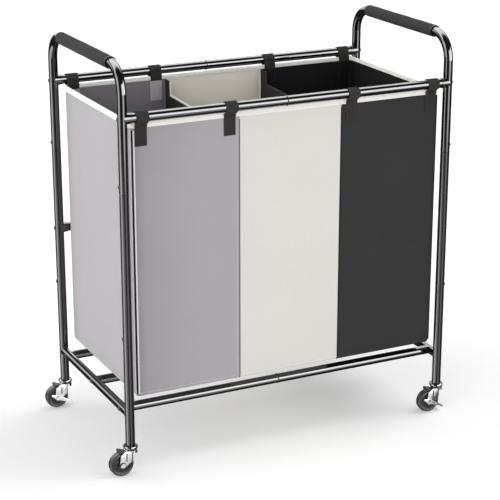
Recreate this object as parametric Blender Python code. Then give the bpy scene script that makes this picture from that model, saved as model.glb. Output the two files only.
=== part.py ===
"""Three-section laundry cart: a knock-down tube frame on four swivel casters, carrying one sewn bag."""

import math

import bmesh
import bpy
from mathutils import Matrix, Vector

# All lengths are in metres. Places are measured from the frame's centre on the floor, with the front
# at -Y and the left end at -X. The whole cart is then shifted along X, to centre its outer box.

GAP = 0.0003  # clearance between neighbouring pieces
COPE_GAP = 0.0004  # between a coped rail end and the tube that it meets

# Tube frame
POST_X = 0.358  # half the spacing of the posts along the cart
POST_Y = 0.1885  # half the spacing of the posts across it
TUBE_R = 0.0095
TUBE_WALL = 0.001
BORE_R = TUBE_R - TUBE_WALL
SPIGOT_R = BORE_R - GAP
SPIGOT_LENGTH = 0.035
COLLAR_R = 0.0102
COLLAR_END = 0.0175  # from the post's axis
SADDLE_START = 0.0045  # where a coped rail end begins, from the axis that it meets
TUBE_SEGMENTS = 16

LEG_BOTTOM_Z = 0.062
LOWER_JOINT_Z = 0.2742
UPPER_JOINT_Z = 0.581
HANDLE_Z = 0.8234
HANDLE_BEND_R = 0.052
BEND_STEPS = 5

END_RAIL_Z = 0.128
END_RAIL_R = 0.009
TOP_RAIL_Z = 0.7265
MIDDLE_RAIL_Z = 0.408
RAIL_JOINT_X = -0.014
BOTTOM_RAIL_INSET = 0.034  # of the front and back bottom rails from the posts' planes

GRIP_LENGTH = 0.267
GRIP_R = 0.01275
GRIP_EDGE = 0.002
GRIP_SEGMENTS = 16

# Bag
BAG_X = 0.339
BAG_FRONT_Y = -0.1835
BAG_BACK_Y = 0.1785
BAG_BOTTOM_Z = 0.157
FABRIC = 0.0012
SEAM_X = 0.113  # the two seams between the sections, either side of the middle
BINDING_SKIN = 0.0008
BINDING_TOP_Z = 0.7145
BINDING_HEIGHT = 0.0125
DIVIDER_TOP_Z = 0.678
DIVIDER_TAB = 0.026
BOARD = 0.003

# Hook-and-loop straps
STRAP_X = (-0.320, -0.1345, 0.1345, 0.320)
STRAP_WIDTH = 0.025
STRAP_BORE_R = 0.0099
STRAP_R = 0.0113
STRAP_TAIL = 0.0012
STRAP_TAIL_Z = 0.669

# Casters
WHEEL_R = 0.025
WHEEL_HALF_WIDTH = 0.0085
WHEEL_SEGMENTS = 20
HUB_R = 0.0070
DISH_R = 0.0165
DISH_HALF_WIDTH = 0.0052
RIM_R = 0.0185
TREAD_SHOULDER_R = 0.0228
TREAD_HALF_WIDTH = 0.0045
TRAIL = 0.021  # of the axle behind the swivel axis, towards -X
FORK_TOP_Z = 0.0535
FORK_SHEET = 0.002
FORK_REACH_X = 0.014
FORK_FRONT_DEPTH = 0.007
FORK_INSIDE_Y = 0.0097
FORK_OUTSIDE_Y = 0.0115
FORK_BOSS_R = 0.007
AXLE_R = 0.003
AXLE_HEAD_R = 0.0055
AXLE_HEAD = 0.0024
STEM_R = 0.005
STEM_HEAD_R = 0.0075
STEM_HEAD = 0.0025
STEM_PLUG_HEIGHT = 0.022
CUP_R = 0.0145
CUP_SHOULDER_R = 0.0112
CUP_RIM = 0.003
PIN_SEGMENTS = 12

# Brake levers, straddling the fork and turning on the axle
LEVER_SHEET = 0.0015
LEVER_BOSS_R = 0.006
LEVER_HEEL = 0.017
LEVER_REACH = 0.036
PEDAL_DEPTH = 0.0085
PEDAL_HALF_THICKNESS = 0.0016
LEVER_SLANT = math.radians(25)

# The outer box runs from the left wheels' tread to the right casters' bearing cups.
CENTRING_SHIFT_X = (TRAIL + WHEEL_R - CUP_R) / 2

# Finishes: linear colour, roughness, metallic
FINISHES = {
    "lacquered_tube": ((0.030, 0.030, 0.033), 0.22, 0.85),
    "grip_foam": ((0.020, 0.020, 0.021), 0.75, 0.0),
    "grey_cloth": ((0.397, 0.372, 0.403), 0.85, 0.0),
    "cream_cloth": ((0.717, 0.696, 0.660), 0.85, 0.0),
    "black_cloth": ((0.040, 0.040, 0.040), 0.85, 0.0),
    "binding_tape": ((0.760, 0.745, 0.700), 0.80, 0.0),
    "strap_webbing": ((0.036, 0.034, 0.034), 0.90, 0.0),
    "board": ((0.180, 0.165, 0.150), 0.90, 0.0),
    "zinc": ((0.700, 0.700, 0.710), 0.30, 1.0),
    "tyre": ((0.060, 0.060, 0.062), 0.60, 0.0),
}

UP = (0.0, 0.0, 1.0)
FLAT = (0.0, 0.0, 0.0)
ALONG_PLUS_X = (0.0, math.pi / 2, 0.0)
ALONG_MINUS_X = (0.0, -math.pi / 2, 0.0)
ALONG_PLUS_Y = (-math.pi / 2, 0.0, 0.0)


# ---- objects, finishes and Booleans ----


def clear_scene():
    for obj in list(bpy.data.objects):
        bpy.data.objects.remove(obj)


def add_empty(name, location):
    empty = bpy.data.objects.new(name, None)
    empty.location = location
    bpy.context.scene.collection.objects.link(empty)
    return empty


def add_piece(name, mesh, parent, location=(0, 0, 0), rotation=FLAT):
    piece = bpy.data.objects.new(name, mesh)
    piece.parent = parent
    piece.location = location
    piece.rotation_euler = rotation
    bpy.context.scene.collection.objects.link(piece)
    return piece


def give_finish(piece, finish):
    """Give the piece a material of its own, and smooth its round faces."""
    colour, roughness, metallic = FINISHES[finish]
    material = bpy.data.materials.new(f"{piece.name}_{finish}")
    material.use_nodes = True
    shader = material.node_tree.nodes["Principled BSDF"]
    shader.inputs["Base Color"].default_value = (*colour, 1.0)
    shader.inputs["Roughness"].default_value = roughness
    shader.inputs["Metallic"].default_value = metallic
    material.diffuse_color = (*colour, 1.0)
    piece.data.materials.clear()
    piece.data.materials.append(material)
    piece.data.shade_smooth()
    piece.data.set_sharp_from_angle(angle=math.radians(40))


def combine(target, tool, operation):
    """Join the tool to the target, or cut it away, and remove the tool."""
    boolean = target.modifiers.new(operation, "BOOLEAN")
    boolean.operation = operation
    boolean.object = tool
    boolean.solver = "EXACT"
    bpy.context.view_layer.update()
    evaluated = target.evaluated_get(bpy.context.evaluated_depsgraph_get())
    mesh = bpy.data.meshes.new_from_object(evaluated)
    target.modifiers.clear()
    target.data = mesh
    bpy.data.objects.remove(tool)


# ---- meshes ----


def mesh_of(bm):
    bmesh.ops.recalc_face_normals(bm, faces=bm.faces)
    mesh = bpy.data.meshes.new("shape")
    bm.to_mesh(mesh)
    bm.free()
    return mesh


def turned(profile, segments):
    """Turn a profile of (radius, height) points about Z: a closed loop, or a chain between axis points."""
    bm = bmesh.new()
    points = [bm.verts.new((radius, 0, height)) for radius, height in profile]
    starts_on_axis = profile[0][0] == 0
    pairs = list(zip(points, points[1:]))
    if not starts_on_axis:
        pairs.append((points[-1], points[0]))
    edges = [bm.edges.new(pair) for pair in pairs]
    bmesh.ops.spin(
        bm,
        geom=points + edges,
        cent=(0, 0, 0),
        axis=UP,
        angle=2 * math.pi,
        steps=segments,
        use_merge=True,
    )
    bmesh.ops.remove_doubles(bm, verts=bm.verts, dist=1e-6)
    return mesh_of(bm)


def cylinder(radius, low, high, segments):
    return turned([(0, low), (radius, low), (radius, high), (0, high)], segments)


def block(low, high):
    bm = bmesh.new()
    size = Vector(high) - Vector(low)
    centre = (Vector(high) + Vector(low)) / 2
    bmesh.ops.create_cube(bm, size=1, matrix=Matrix.Translation(centre) @ Matrix.Diagonal((*size, 1)))
    return mesh_of(bm)


def hull(outline, half_width):
    """The convex outline of some (x, z) points, as wide as half_width on each side of y = 0."""
    bm = bmesh.new()
    for x, z in outline:
        for y in (-half_width, half_width):
            bm.verts.new((x, y, z))
    bmesh.ops.convex_hull(bm, input=bm.verts)
    loose = [vert for vert in bm.verts if not vert.link_faces]
    bmesh.ops.delete(bm, geom=loose, context="VERTS")
    bmesh.ops.dissolve_limit(bm, angle_limit=math.radians(1), verts=bm.verts, edges=bm.edges)
    return mesh_of(bm)


def circle_points(centre_x, centre_z, radius, count):
    turns = [2 * math.pi * step / count for step in range(count)]
    return [(centre_x + radius * math.cos(turn), centre_z + radius * math.sin(turn)) for turn in turns]


def rectangular_ring(profile, low, high):
    """Carry a closed profile of (outset, height) points round the rectangle between two (x, y) corners."""
    bm = bmesh.new()
    rings = []
    for side_x, side_y in ((-1, -1), (1, -1), (1, 1), (-1, 1)):
        corner_x = low[0] if side_x < 0 else high[0]
        corner_y = low[1] if side_y < 0 else high[1]
        places = [(corner_x + side_x * out, corner_y + side_y * out, z) for out, z in profile]
        rings.append([bm.verts.new(place) for place in places])
    for here, there in zip(rings, rings[1:] + rings[:1]):
        for k in range(len(profile)):
            after = (k + 1) % len(profile)
            bm.faces.new((here[k], there[k], there[after], here[after]))
    return mesh_of(bm)


# ---- tube frame ----


def tube_wall(start, end, collar=False, spigot=False):
    """A tube's wall as a closed loop, with an end collar and a swaged spigot past its far end."""
    outside = [(TUBE_R, start)]
    if collar:
        outside = [(COLLAR_R, start), (COLLAR_R, COLLAR_END), (TUBE_R, COLLAR_END + GAP)]
    outside.append((TUBE_R, end))
    inside = [(BORE_R, end), (BORE_R, start)]
    if spigot:
        tip = end + SPIGOT_LENGTH
        neck = end - TUBE_WALL
        outside += [(SPIGOT_R, end), (SPIGOT_R, tip)]
        inside = [
            (SPIGOT_R - TUBE_WALL, tip),
            (SPIGOT_R - TUBE_WALL, neck),
            (BORE_R, neck),
            (BORE_R, start),
        ]
    return outside + inside


def hoop_stations():
    """Where the handle hoop's tube passes, as (y, z, turn about X), from one leg end to the other."""
    bend_z = HANDLE_Z - HANDLE_BEND_R
    stations = [(-POST_Y, UPPER_JOINT_Z + GAP, 0.0)]
    for side in (-1, 1):
        for step in range(BEND_STEPS + 1):
            swept = math.pi / 2 * step / BEND_STEPS
            turn = swept if side < 0 else swept + math.pi / 2
            bend_y = side * (POST_Y - HANDLE_BEND_R)
            y = bend_y - HANDLE_BEND_R * math.cos(turn)
            stations.append((y, bend_z + HANDLE_BEND_R * math.sin(turn), -turn))
    stations.append((POST_Y, UPPER_JOINT_Z + GAP, -math.pi))
    return stations


def hoop_mesh():
    """A hollow tube bent into an upside-down U, its two leg ends open."""
    bm = bmesh.new()
    turns = [2 * math.pi * step / TUBE_SEGMENTS for step in range(TUBE_SEGMENTS)]
    rings = []
    for y, z, turn in hoop_stations():
        place = Matrix.Translation((0, y, z)) @ Matrix.Rotation(turn, 4, "X")
        for radius in (TUBE_R, BORE_R):
            circle = [Vector((radius * math.cos(a), radius * math.sin(a), 0)) for a in turns]
            rings.append([bm.verts.new(place @ point) for point in circle])
    outer = rings[0::2]
    inner = rings[1::2]
    joined = list(zip(outer, outer[1:])) + list(zip(inner, inner[1:]))
    joined += [(outer[0], inner[0]), (outer[-1], inner[-1])]
    for here, there in joined:
        for k in range(TUBE_SEGMENTS):
            after = (k + 1) % TUBE_SEGMENTS
            bm.faces.new((here[k], here[after], there[after], there[k]))
    return mesh_of(bm)


def add_hoops(cart):
    for end, x in (("left", -POST_X), ("right", POST_X)):
        hoop = add_piece(f"{end}_handle_hoop", hoop_mesh(), cart, (x, 0, 0))
        give_finish(hoop, "lacquered_tube")
        half = GRIP_LENGTH / 2
        sleeve = [
            (TUBE_R + GAP, -half),
            (GRIP_R - GRIP_EDGE / 2, -half),
            (GRIP_R, GRIP_EDGE - half),
            (GRIP_R, half - GRIP_EDGE),
            (GRIP_R - GRIP_EDGE / 2, half),
            (TUBE_R + GAP, half),
        ]
        mesh = turned(sleeve, GRIP_SEGMENTS)
        grip = add_piece(f"{end}_grip", mesh, cart, (x, 0, HANDLE_Z), ALONG_PLUS_Y)
        give_finish(grip, "grip_foam")


def add_posts(cart, corners):
    start = LOWER_JOINT_Z + GAP
    wall = tube_wall(0, UPPER_JOINT_Z - start, spigot=True)
    for corner, (x, y) in corners.items():
        post = add_piece(f"{corner}_post", turned(wall, TUBE_SEGMENTS), cart, (x, y, start))
        give_finish(post, "lacquered_tube")


def leg_shape(radius, spigot_radius, step_z, low, high):
    return [(0, low), (radius, low), (radius, step_z), (spigot_radius, step_z), (spigot_radius, high), (0, high)]


def add_lower_frames(cart):
    """Each end has two legs and a welded rail between them. The rail's bore opens into the legs'."""
    spigot_top = LOWER_JOINT_Z + SPIGOT_LENGTH
    past = 0.01
    leg = leg_shape(TUBE_R, SPIGOT_R, LOWER_JOINT_Z, LEG_BOTTOM_Z, spigot_top)
    leg_bore = leg_shape(
        BORE_R, SPIGOT_R - TUBE_WALL, LOWER_JOINT_Z - TUBE_WALL, LEG_BOTTOM_Z - past, spigot_top + past
    )
    rail_bore_r = END_RAIL_R - TUBE_WALL
    for end, x in (("left", -POST_X), ("right", POST_X)):
        frame = add_piece(f"{end}_lower_frame", turned(leg, TUBE_SEGMENTS), cart, (x, -POST_Y, 0))
        rail = cylinder(END_RAIL_R, -POST_Y, POST_Y, TUBE_SEGMENTS)
        combine(frame, add_piece("rail", rail, cart, (x, 0, END_RAIL_Z), ALONG_PLUS_Y), "UNION")
        combine(frame, add_piece("leg", turned(leg, TUBE_SEGMENTS), cart, (x, POST_Y, 0)), "UNION")
        bore = cylinder(rail_bore_r, -POST_Y, POST_Y, TUBE_SEGMENTS)
        combine(frame, add_piece("bore", bore, cart, (x, 0, END_RAIL_Z), ALONG_PLUS_Y), "DIFFERENCE")
        for y in (-POST_Y, POST_Y):
            bore = add_piece("bore", turned(leg_bore, TUBE_SEGMENTS), cart, (x, y, 0))
            combine(frame, bore, "DIFFERENCE")
        give_finish(frame, "lacquered_tube")


def add_rail(cart, name, y, z, meets_post):
    """A rail in two halves, coped round the uprights or the end rails, and joined by a spigot."""
    cutter_r = (TUBE_R if meets_post else END_RAIL_R) + COPE_GAP
    cutter_half = 0.02
    left_length = POST_X + RAIL_JOINT_X
    right_length = POST_X - RAIL_JOINT_X - GAP
    halves = (
        ("left", -POST_X, ALONG_PLUS_X, tube_wall(SADDLE_START, left_length, meets_post, True)),
        ("right", POST_X, ALONG_MINUS_X, tube_wall(SADDLE_START, right_length, meets_post, False)),
    )
    for end, x, direction, wall in halves:
        mesh = turned(wall, TUBE_SEGMENTS)
        rail = add_piece(f"{name}_{end}", mesh, cart, (x, y, z), direction)
        mesh = cylinder(cutter_r, -cutter_half, cutter_half, TUBE_SEGMENTS)
        cutter = add_piece("cope", mesh, cart, (x, y, z), FLAT if meets_post else ALONG_PLUS_Y)
        combine(rail, cutter, "DIFFERENCE")
        give_finish(rail, "lacquered_tube")


def add_rails(cart):
    add_rail(cart, "front_top_rail", -POST_Y, TOP_RAIL_Z, True)
    add_rail(cart, "back_top_rail", POST_Y, TOP_RAIL_Z, True)
    add_rail(cart, "back_middle_rail", POST_Y, MIDDLE_RAIL_Z, True)
    add_rail(cart, "front_bottom_rail", -POST_Y + BOTTOM_RAIL_INSET, END_RAIL_Z, False)
    add_rail(cart, "middle_bottom_rail", 0, END_RAIL_Z, False)
    add_rail(cart, "back_bottom_rail", POST_Y - BOTTOM_RAIL_INSET, END_RAIL_Z, False)


# ---- bag ----


def add_bag_sections(cart):
    """Three open-topped sections side by side: the middle one is a channel, the outer ones have an end wall."""
    panel_top = BINDING_TOP_Z - BINDING_SKIN - GAP
    past = 0.01
    sections = (
        ("grey_bag_section", "grey_cloth", -BAG_X, -SEAM_X - GAP / 2, FABRIC, -past),
        ("cream_bag_section", "cream_cloth", -SEAM_X + GAP / 2, SEAM_X - GAP / 2, -past, -past),
        ("black_bag_section", "black_cloth", SEAM_X + GAP / 2, BAG_X, -past, FABRIC),
    )
    for name, finish, low_x, high_x, low_wall, high_wall in sections:
        outside = block((low_x, BAG_FRONT_Y, BAG_BOTTOM_Z), (high_x, BAG_BACK_Y, panel_top))
        section = add_piece(name, outside, cart)
        low = (low_x + low_wall, BAG_FRONT_Y + FABRIC, BAG_BOTTOM_Z + FABRIC)
        high = (high_x - high_wall, BAG_BACK_Y - FABRIC, panel_top + past)
        combine(section, add_piece("inside", block(low, high), cart), "DIFFERENCE")
        give_finish(section, finish)


def add_base_boards(cart):
    low_z = BAG_BOTTOM_Z + FABRIC + GAP
    clear = FABRIC / 2 + GAP
    spans = {
        "grey_base_board": (-BAG_X + FABRIC + GAP, -SEAM_X - clear),
        "cream_base_board": (-SEAM_X + clear, SEAM_X - clear),
        "black_base_board": (SEAM_X + clear, BAG_X - FABRIC - GAP),
    }
    for name, (low_x, high_x) in spans.items():
        low = (low_x, BAG_FRONT_Y + FABRIC + GAP, low_z)
        high = (high_x, BAG_BACK_Y - FABRIC - GAP, low_z + BOARD)
        give_finish(add_piece(name, block(low, high), cart), "board")


def add_dividers(cart):
    """A panel across the bag at each seam, with a tab that rises to the binding at each end."""
    low_y = BAG_FRONT_Y + FABRIC + GAP
    high_y = BAG_BACK_Y - FABRIC - GAP
    low_z = BAG_BOTTOM_Z + FABRIC + GAP
    tab_z = BINDING_TOP_Z - BINDING_HEIGHT - GAP
    half = FABRIC / 2
    past = 0.01
    for side, x in (("left", -SEAM_X), ("right", SEAM_X)):
        panel = block((-half, low_y, low_z), (half, high_y, tab_z))
        divider = add_piece(f"{side}_divider", panel, cart, (x, 0, 0))
        low = (-past, low_y + DIVIDER_TAB, DIVIDER_TOP_Z)
        dip = block(low, (past, high_y - DIVIDER_TAB, tab_z + past))
        combine(divider, add_piece("dip", dip, cart, (x, 0, 0)), "DIFFERENCE")
        give_finish(divider, "black_cloth")


def add_binding(cart):
    """The tape folded over the bag's top edge, as a channel that runs all the way round."""
    low_z = BINDING_TOP_Z - BINDING_HEIGHT
    slot_top = BINDING_TOP_Z - BINDING_SKIN
    profile = [
        (GAP + BINDING_SKIN, low_z),
        (GAP + BINDING_SKIN, BINDING_TOP_Z),
        (-FABRIC - GAP - BINDING_SKIN, BINDING_TOP_Z),
        (-FABRIC - GAP - BINDING_SKIN, low_z),
        (-FABRIC - GAP, low_z),
        (-FABRIC - GAP, slot_top),
        (GAP, slot_top),
        (GAP, low_z),
    ]
    ring = rectangular_ring(profile, (-BAG_X, BAG_FRONT_Y), (BAG_X, BAG_BACK_Y))
    give_finish(add_piece("rim_binding", ring, cart), "binding_tape")


def add_strap(cart, name, x, rail_y, bag_y):
    """A strap closed round a top rail, with its tail down the outside of the bag."""
    outward = math.copysign(1, rail_y)
    half = STRAP_WIDTH / 2
    loop = turned(
        [(STRAP_BORE_R, -half), (STRAP_R, -half), (STRAP_R, half), (STRAP_BORE_R, half)], TUBE_SEGMENTS
    )
    strap = add_piece(name, loop, cart, (x, rail_y, TOP_RAIL_Z), ALONG_PLUS_X)
    near_y = bag_y + outward * (2 * GAP + BINDING_SKIN)
    far_y = near_y + outward * STRAP_TAIL
    offset = abs((near_y + far_y) / 2 - rail_y)
    middle_r = (STRAP_BORE_R + STRAP_R) / 2
    tail_top = TOP_RAIL_Z - math.sqrt(middle_r**2 - offset**2)
    low = (x - half, min(near_y, far_y), STRAP_TAIL_Z)
    high = (x + half, max(near_y, far_y), tail_top)
    combine(strap, add_piece("tail", block(low, high), cart), "UNION")
    give_finish(strap, "strap_webbing")


def add_straps(cart):
    for number, x in enumerate(STRAP_X, start=1):
        add_strap(cart, f"front_strap_{number}", x, -POST_Y, BAG_FRONT_Y)
        add_strap(cart, f"back_strap_{number}", x, POST_Y, BAG_BACK_Y)


# ---- casters ----


def fork_blanks():
    """The fork's outside and the space between its legs, about the swivel axis and up from the floor."""
    outline = circle_points(-TRAIL, WHEEL_R, FORK_BOSS_R, TUBE_SEGMENTS)
    outline += [
        (-FORK_REACH_X, FORK_TOP_Z),
        (FORK_REACH_X, FORK_TOP_Z),
        (FORK_REACH_X, FORK_TOP_Z - FORK_FRONT_DEPTH),
    ]
    past = 0.06
    space = block((-past, -FORK_INSIDE_Y, -past), (past, FORK_INSIDE_Y, FORK_TOP_Z - FORK_SHEET))
    return hull(outline, FORK_OUTSIDE_Y), space


def add_fork(cart, corner, x, y):
    outside, space = fork_blanks()
    place = (x, y, 0)
    fork = add_piece(f"{corner}_fork", outside, cart, place)
    combine(fork, add_piece("space", space, cart, place), "DIFFERENCE")
    stem_hole = cylinder(STEM_R + GAP, FORK_TOP_Z - 0.01, FORK_TOP_Z + 0.01, PIN_SEGMENTS)
    combine(fork, add_piece("stem_hole", stem_hole, cart, place), "DIFFERENCE")
    axle_hole = cylinder(AXLE_R + GAP, -0.03, 0.03, PIN_SEGMENTS)
    place = (x - TRAIL, y, WHEEL_R)
    combine(fork, add_piece("axle_hole", axle_hole, cart, place, ALONG_PLUS_Y), "DIFFERENCE")
    give_finish(fork, "zinc")
    return fork


def add_stem(cart, corner, x, y):
    """Plug in the leg's end, bearing cup, neck through the fork, and the riveted head that holds it."""
    plug_r = BORE_R - GAP
    cup_low = FORK_TOP_Z + GAP
    cup_top = LEG_BOTTOM_Z - GAP
    head_top = FORK_TOP_Z - FORK_SHEET - GAP
    profile = [
        (0, head_top - STEM_HEAD),
        (STEM_HEAD_R, head_top - STEM_HEAD),
        (STEM_HEAD_R, head_top),
        (STEM_R, head_top),
        (STEM_R, cup_low),
        (CUP_R, cup_low),
        (CUP_R, cup_low + CUP_RIM),
        (CUP_SHOULDER_R, cup_top),
        (plug_r, cup_top),
        (plug_r, cup_top + STEM_PLUG_HEIGHT),
        (0, cup_top + STEM_PLUG_HEIGHT),
    ]
    stem = add_piece(f"{corner}_caster_stem", turned(profile, PIN_SEGMENTS), cart, (x, y, 0))
    give_finish(stem, "zinc")


def add_wheel(fork, corner):
    hub_half = FORK_INSIDE_Y - 2 * GAP
    side = [
        (AXLE_R + GAP, hub_half),
        (HUB_R, hub_half),
        (DISH_R, DISH_HALF_WIDTH),
        (RIM_R, WHEEL_HALF_WIDTH),
        (TREAD_SHOULDER_R, WHEEL_HALF_WIDTH),
        (WHEEL_R, TREAD_HALF_WIDTH),
    ]
    profile = side + [(radius, -half) for radius, half in reversed(side)]
    mesh = turned(profile, WHEEL_SEGMENTS)
    wheel = add_piece(f"{corner}_wheel", mesh, fork, (-TRAIL, 0, WHEEL_R), ALONG_PLUS_Y)
    give_finish(wheel, "tyre")


def add_axle(fork, corner, outer_y):
    """A bolt through the fork, with a head at each end outside everything that it holds."""
    end = outer_y + GAP
    profile = [
        (0, -end - AXLE_HEAD),
        (AXLE_HEAD_R, -end - AXLE_HEAD),
        (AXLE_HEAD_R, -end),
        (AXLE_R, -end),
        (AXLE_R, end),
        (AXLE_HEAD_R, end),
        (AXLE_HEAD_R, end + AXLE_HEAD),
        (0, end + AXLE_HEAD),
    ]
    mesh = turned(profile, PIN_SEGMENTS)
    axle = add_piece(f"{corner}_axle", mesh, fork, (-TRAIL, 0, WHEEL_R), ALONG_PLUS_Y)
    give_finish(axle, "zinc")


def lever_outer_y():
    return FORK_OUTSIDE_Y + GAP + LEVER_SHEET


def add_brake_lever(fork, corner):
    """Two arms outside the fork joined by a pedal, turning on the axle and slanting down to +X."""
    pedal = PEDAL_HALF_THICKNESS
    outline = circle_points(0, 0, LEVER_BOSS_R, TUBE_SEGMENTS)
    outline += [(LEVER_REACH, pedal), (LEVER_REACH, -pedal), (-LEVER_HEEL, pedal), (-LEVER_HEEL, -pedal)]
    place = (-TRAIL, 0, WHEEL_R)
    slant = (0, LEVER_SLANT, 0)
    lever = add_piece(f"{corner}_brake_lever", hull(outline, lever_outer_y()), fork, place, slant)
    half = FORK_OUTSIDE_Y + GAP
    past = 0.03
    space = block((-past, -half, -past), (LEVER_REACH - PEDAL_DEPTH, half, past))
    combine(lever, add_piece("space", space, fork, place, slant), "DIFFERENCE")
    hole = cylinder(AXLE_R + GAP, -past, past, PIN_SEGMENTS)
    combine(lever, add_piece("hole", hole, fork, place, ALONG_PLUS_Y), "DIFFERENCE")
    give_finish(lever, "zinc")


def add_casters(cart, corners, braked):
    for corner, (x, y) in corners.items():
        add_stem(cart, corner, x, y)
        fork = add_fork(cart, corner, x, y)
        add_wheel(fork, corner)
        has_brake = corner in braked
        add_axle(fork, corner, lever_outer_y() if has_brake else FORK_OUTSIDE_Y)
        if has_brake:
            add_brake_lever(fork, corner)


def build_cart():
    clear_scene()
    cart = add_empty("cart", (CENTRING_SHIFT_X, 0, 0))
    corners = {
        "front_left": (-POST_X, -POST_Y),
        "front_right": (POST_X, -POST_Y),
        "back_left": (-POST_X, POST_Y),
        "back_right": (POST_X, POST_Y),
    }
    add_hoops(cart)
    add_posts(cart, corners)
    add_lower_frames(cart)
    add_rails(cart)
    add_bag_sections(cart)
    add_base_boards(cart)
    add_dividers(cart)
    add_binding(cart)
    add_straps(cart)
    add_casters(cart, corners, braked=("back_left", "front_right"))


build_cart()
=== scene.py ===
"""Looks of the three-section laundry cart: lacquered tubes, sewn bag, foam grips and pressed casters."""

import math

import bmesh
import bpy
from mathutils import Matrix, Vector, noise


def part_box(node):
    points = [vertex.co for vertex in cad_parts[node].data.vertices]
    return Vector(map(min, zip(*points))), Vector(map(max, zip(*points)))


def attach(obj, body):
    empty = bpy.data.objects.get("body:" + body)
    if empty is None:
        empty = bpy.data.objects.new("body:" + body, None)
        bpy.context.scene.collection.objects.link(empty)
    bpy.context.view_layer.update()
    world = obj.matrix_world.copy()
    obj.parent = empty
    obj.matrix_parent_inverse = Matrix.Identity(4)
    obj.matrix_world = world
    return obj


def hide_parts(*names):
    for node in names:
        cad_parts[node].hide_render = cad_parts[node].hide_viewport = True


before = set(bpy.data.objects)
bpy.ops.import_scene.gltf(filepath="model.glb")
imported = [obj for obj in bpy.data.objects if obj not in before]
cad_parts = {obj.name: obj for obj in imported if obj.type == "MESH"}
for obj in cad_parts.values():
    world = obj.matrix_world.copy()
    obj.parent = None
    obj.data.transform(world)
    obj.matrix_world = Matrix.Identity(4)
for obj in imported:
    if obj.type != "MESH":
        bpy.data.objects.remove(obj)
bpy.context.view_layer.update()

MM = 0.001
ROUND = 40  # segments round a tube
GRIP_ROUND = 56
END_CHAMFER = 0.4 * MM
JOINT_GAP = 0.3 * MM
X_AXIS = Vector((1, 0, 0))
Z_AXIS = Vector((0, 0, 1))

CORNERS = ("front_left", "front_right", "back_left", "back_right")
BRAKED = ("back_left", "front_right")
UPPER_RAILS = ("front_top_rail", "back_top_rail", "back_middle_rail")
BOTTOM_RAILS = ("front_bottom_rail", "middle_bottom_rail", "back_bottom_rail")
RAILS = UPPER_RAILS + BOTTOM_RAILS
# The rails in the shade under the bag keep the plain, darker lacquer: painted shade.
RAILS_IN_BAG_SHADE = BOTTOM_RAILS[1:]


# ---- places, read from the frame ----


def middle(node):
    low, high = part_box(node)
    return (low + high) / 2


def mm(*pairs, at=(0.0, 0.0)):
    """Pairs given in millimetres from a place, as pairs in metres."""
    return [(at[0] + a * MM, at[1] + b * MM) for a, b in pairs]


def circle(count):
    """Evenly spaced angles round a circle."""
    return [2 * math.pi * k / count for k in range(count)]


POSTS = {corner: middle(f"{corner}_post") for corner in CORNERS}
LEFT_X = POSTS["front_left"].x
RIGHT_X = POSTS["front_right"].x
FRONT_Y = POSTS["front_left"].y
BACK_Y = POSTS["back_left"].y
CENTRE_X = (LEFT_X + RIGHT_X) / 2

POST_LOW, POST_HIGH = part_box("front_left_post")
TUBE_R = (POST_HIGH.x - POST_LOW.x) / 2
LOWER_JOINT_Z = POST_LOW.z
UPPER_JOINT_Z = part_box("left_handle_hoop")[0].z
HANDLE_Z = middle("left_grip").z
LEG_BOTTOM_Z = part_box("left_lower_frame")[0].z
END_RAIL_Z = middle("front_bottom_rail_left").z
TOP_RAIL_Z = middle("front_top_rail_left").z
MIDDLE_RAIL_Z = middle("back_middle_rail_left").z
RAIL_JOINT_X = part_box("front_top_rail_right")[0].x

GREY_LOW, GREY_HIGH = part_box("grey_bag_section")
BAG_LEFT_X = GREY_LOW.x
BAG_RIGHT_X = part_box("black_bag_section")[1].x
BAG_FRONT_Y = GREY_LOW.y
BAG_BACK_Y = GREY_HIGH.y
BAG_BOTTOM_Z = GREY_LOW.z
BAG_TOP_Z = GREY_HIGH.z
LEFT_SEAM_X = middle("left_divider").x
RIGHT_SEAM_X = middle("right_divider").x
BINDING_LOW, BINDING_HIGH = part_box("rim_binding")

# The tape's outer and inner edges, and its fold
BINDING_OUTER_Z = BINDING_LOW.z + 3 * MM
BINDING_INNER_Z = BINDING_LOW.z + 6 * MM
BINDING_TOP = BINDING_HIGH.z + 2 * MM

# Sizes that the frame's boxes don't hold
BINDING_REACH = 0.9 * MM  # how far the binding and its stitches stand off the cloth, for the straps
END_RAIL_R = 9.0 * MM
HANDLE_BEND_R = 52 * MM
COLLAR_R = 10.2 * MM
COLLAR_END = 17.5 * MM
FABRIC = 1.2 * MM
BAG_CORNER_R = 9 * MM
BAG_BOTTOM_R = 9 * MM
HEM = 7 * MM


# ---- camera, lights and floor ----

VIEW_AZIMUTH = math.radians(26.2)
VIEW_DISTANCE = 3.2757
VIEW_HEIGHT = 1.4467
VIEW_TILT = math.radians(18.33)
LENS = 117.0
SENSOR = 36.0
FLOOR_HALF = 12.0

KEY_DIRECTION = (0.48, -0.02, 0.88)
KEY_STRENGTH = 0.98
KEY_SPREAD = math.radians(34)
SKY = 0.40
LEFT_GLOW = 1.9
RIGHT_GLOW = 0.60
LEFT_TINT = (1.0, 1.008, 0.994)
BACKDROP = 1.0
DIM_ROOM = 0.07
# What shiny pieces mirror. Each softbox has its compass direction in degrees from +X, the lowest and
# highest z of its directions, its outer and inner half-widths in degrees, and its brightness.
SOFTBOXES = (
    (177, -0.90, 0.60, 26, 14, 3.0),
    (210, -0.90, -0.27, 29, 21, 1.1),
    (285, -0.90, -0.25, 22, 14, 1.05),
    (285, -0.25, -0.14, 22, 12, 3.0),
    (300, -0.13, 0.46, 45, 30, 6.5),
    (90, 0.10, 0.41, 60, 35, 2.6),
)
BOX_EDGE = 0.04
OVERHEAD = 5.0


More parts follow.
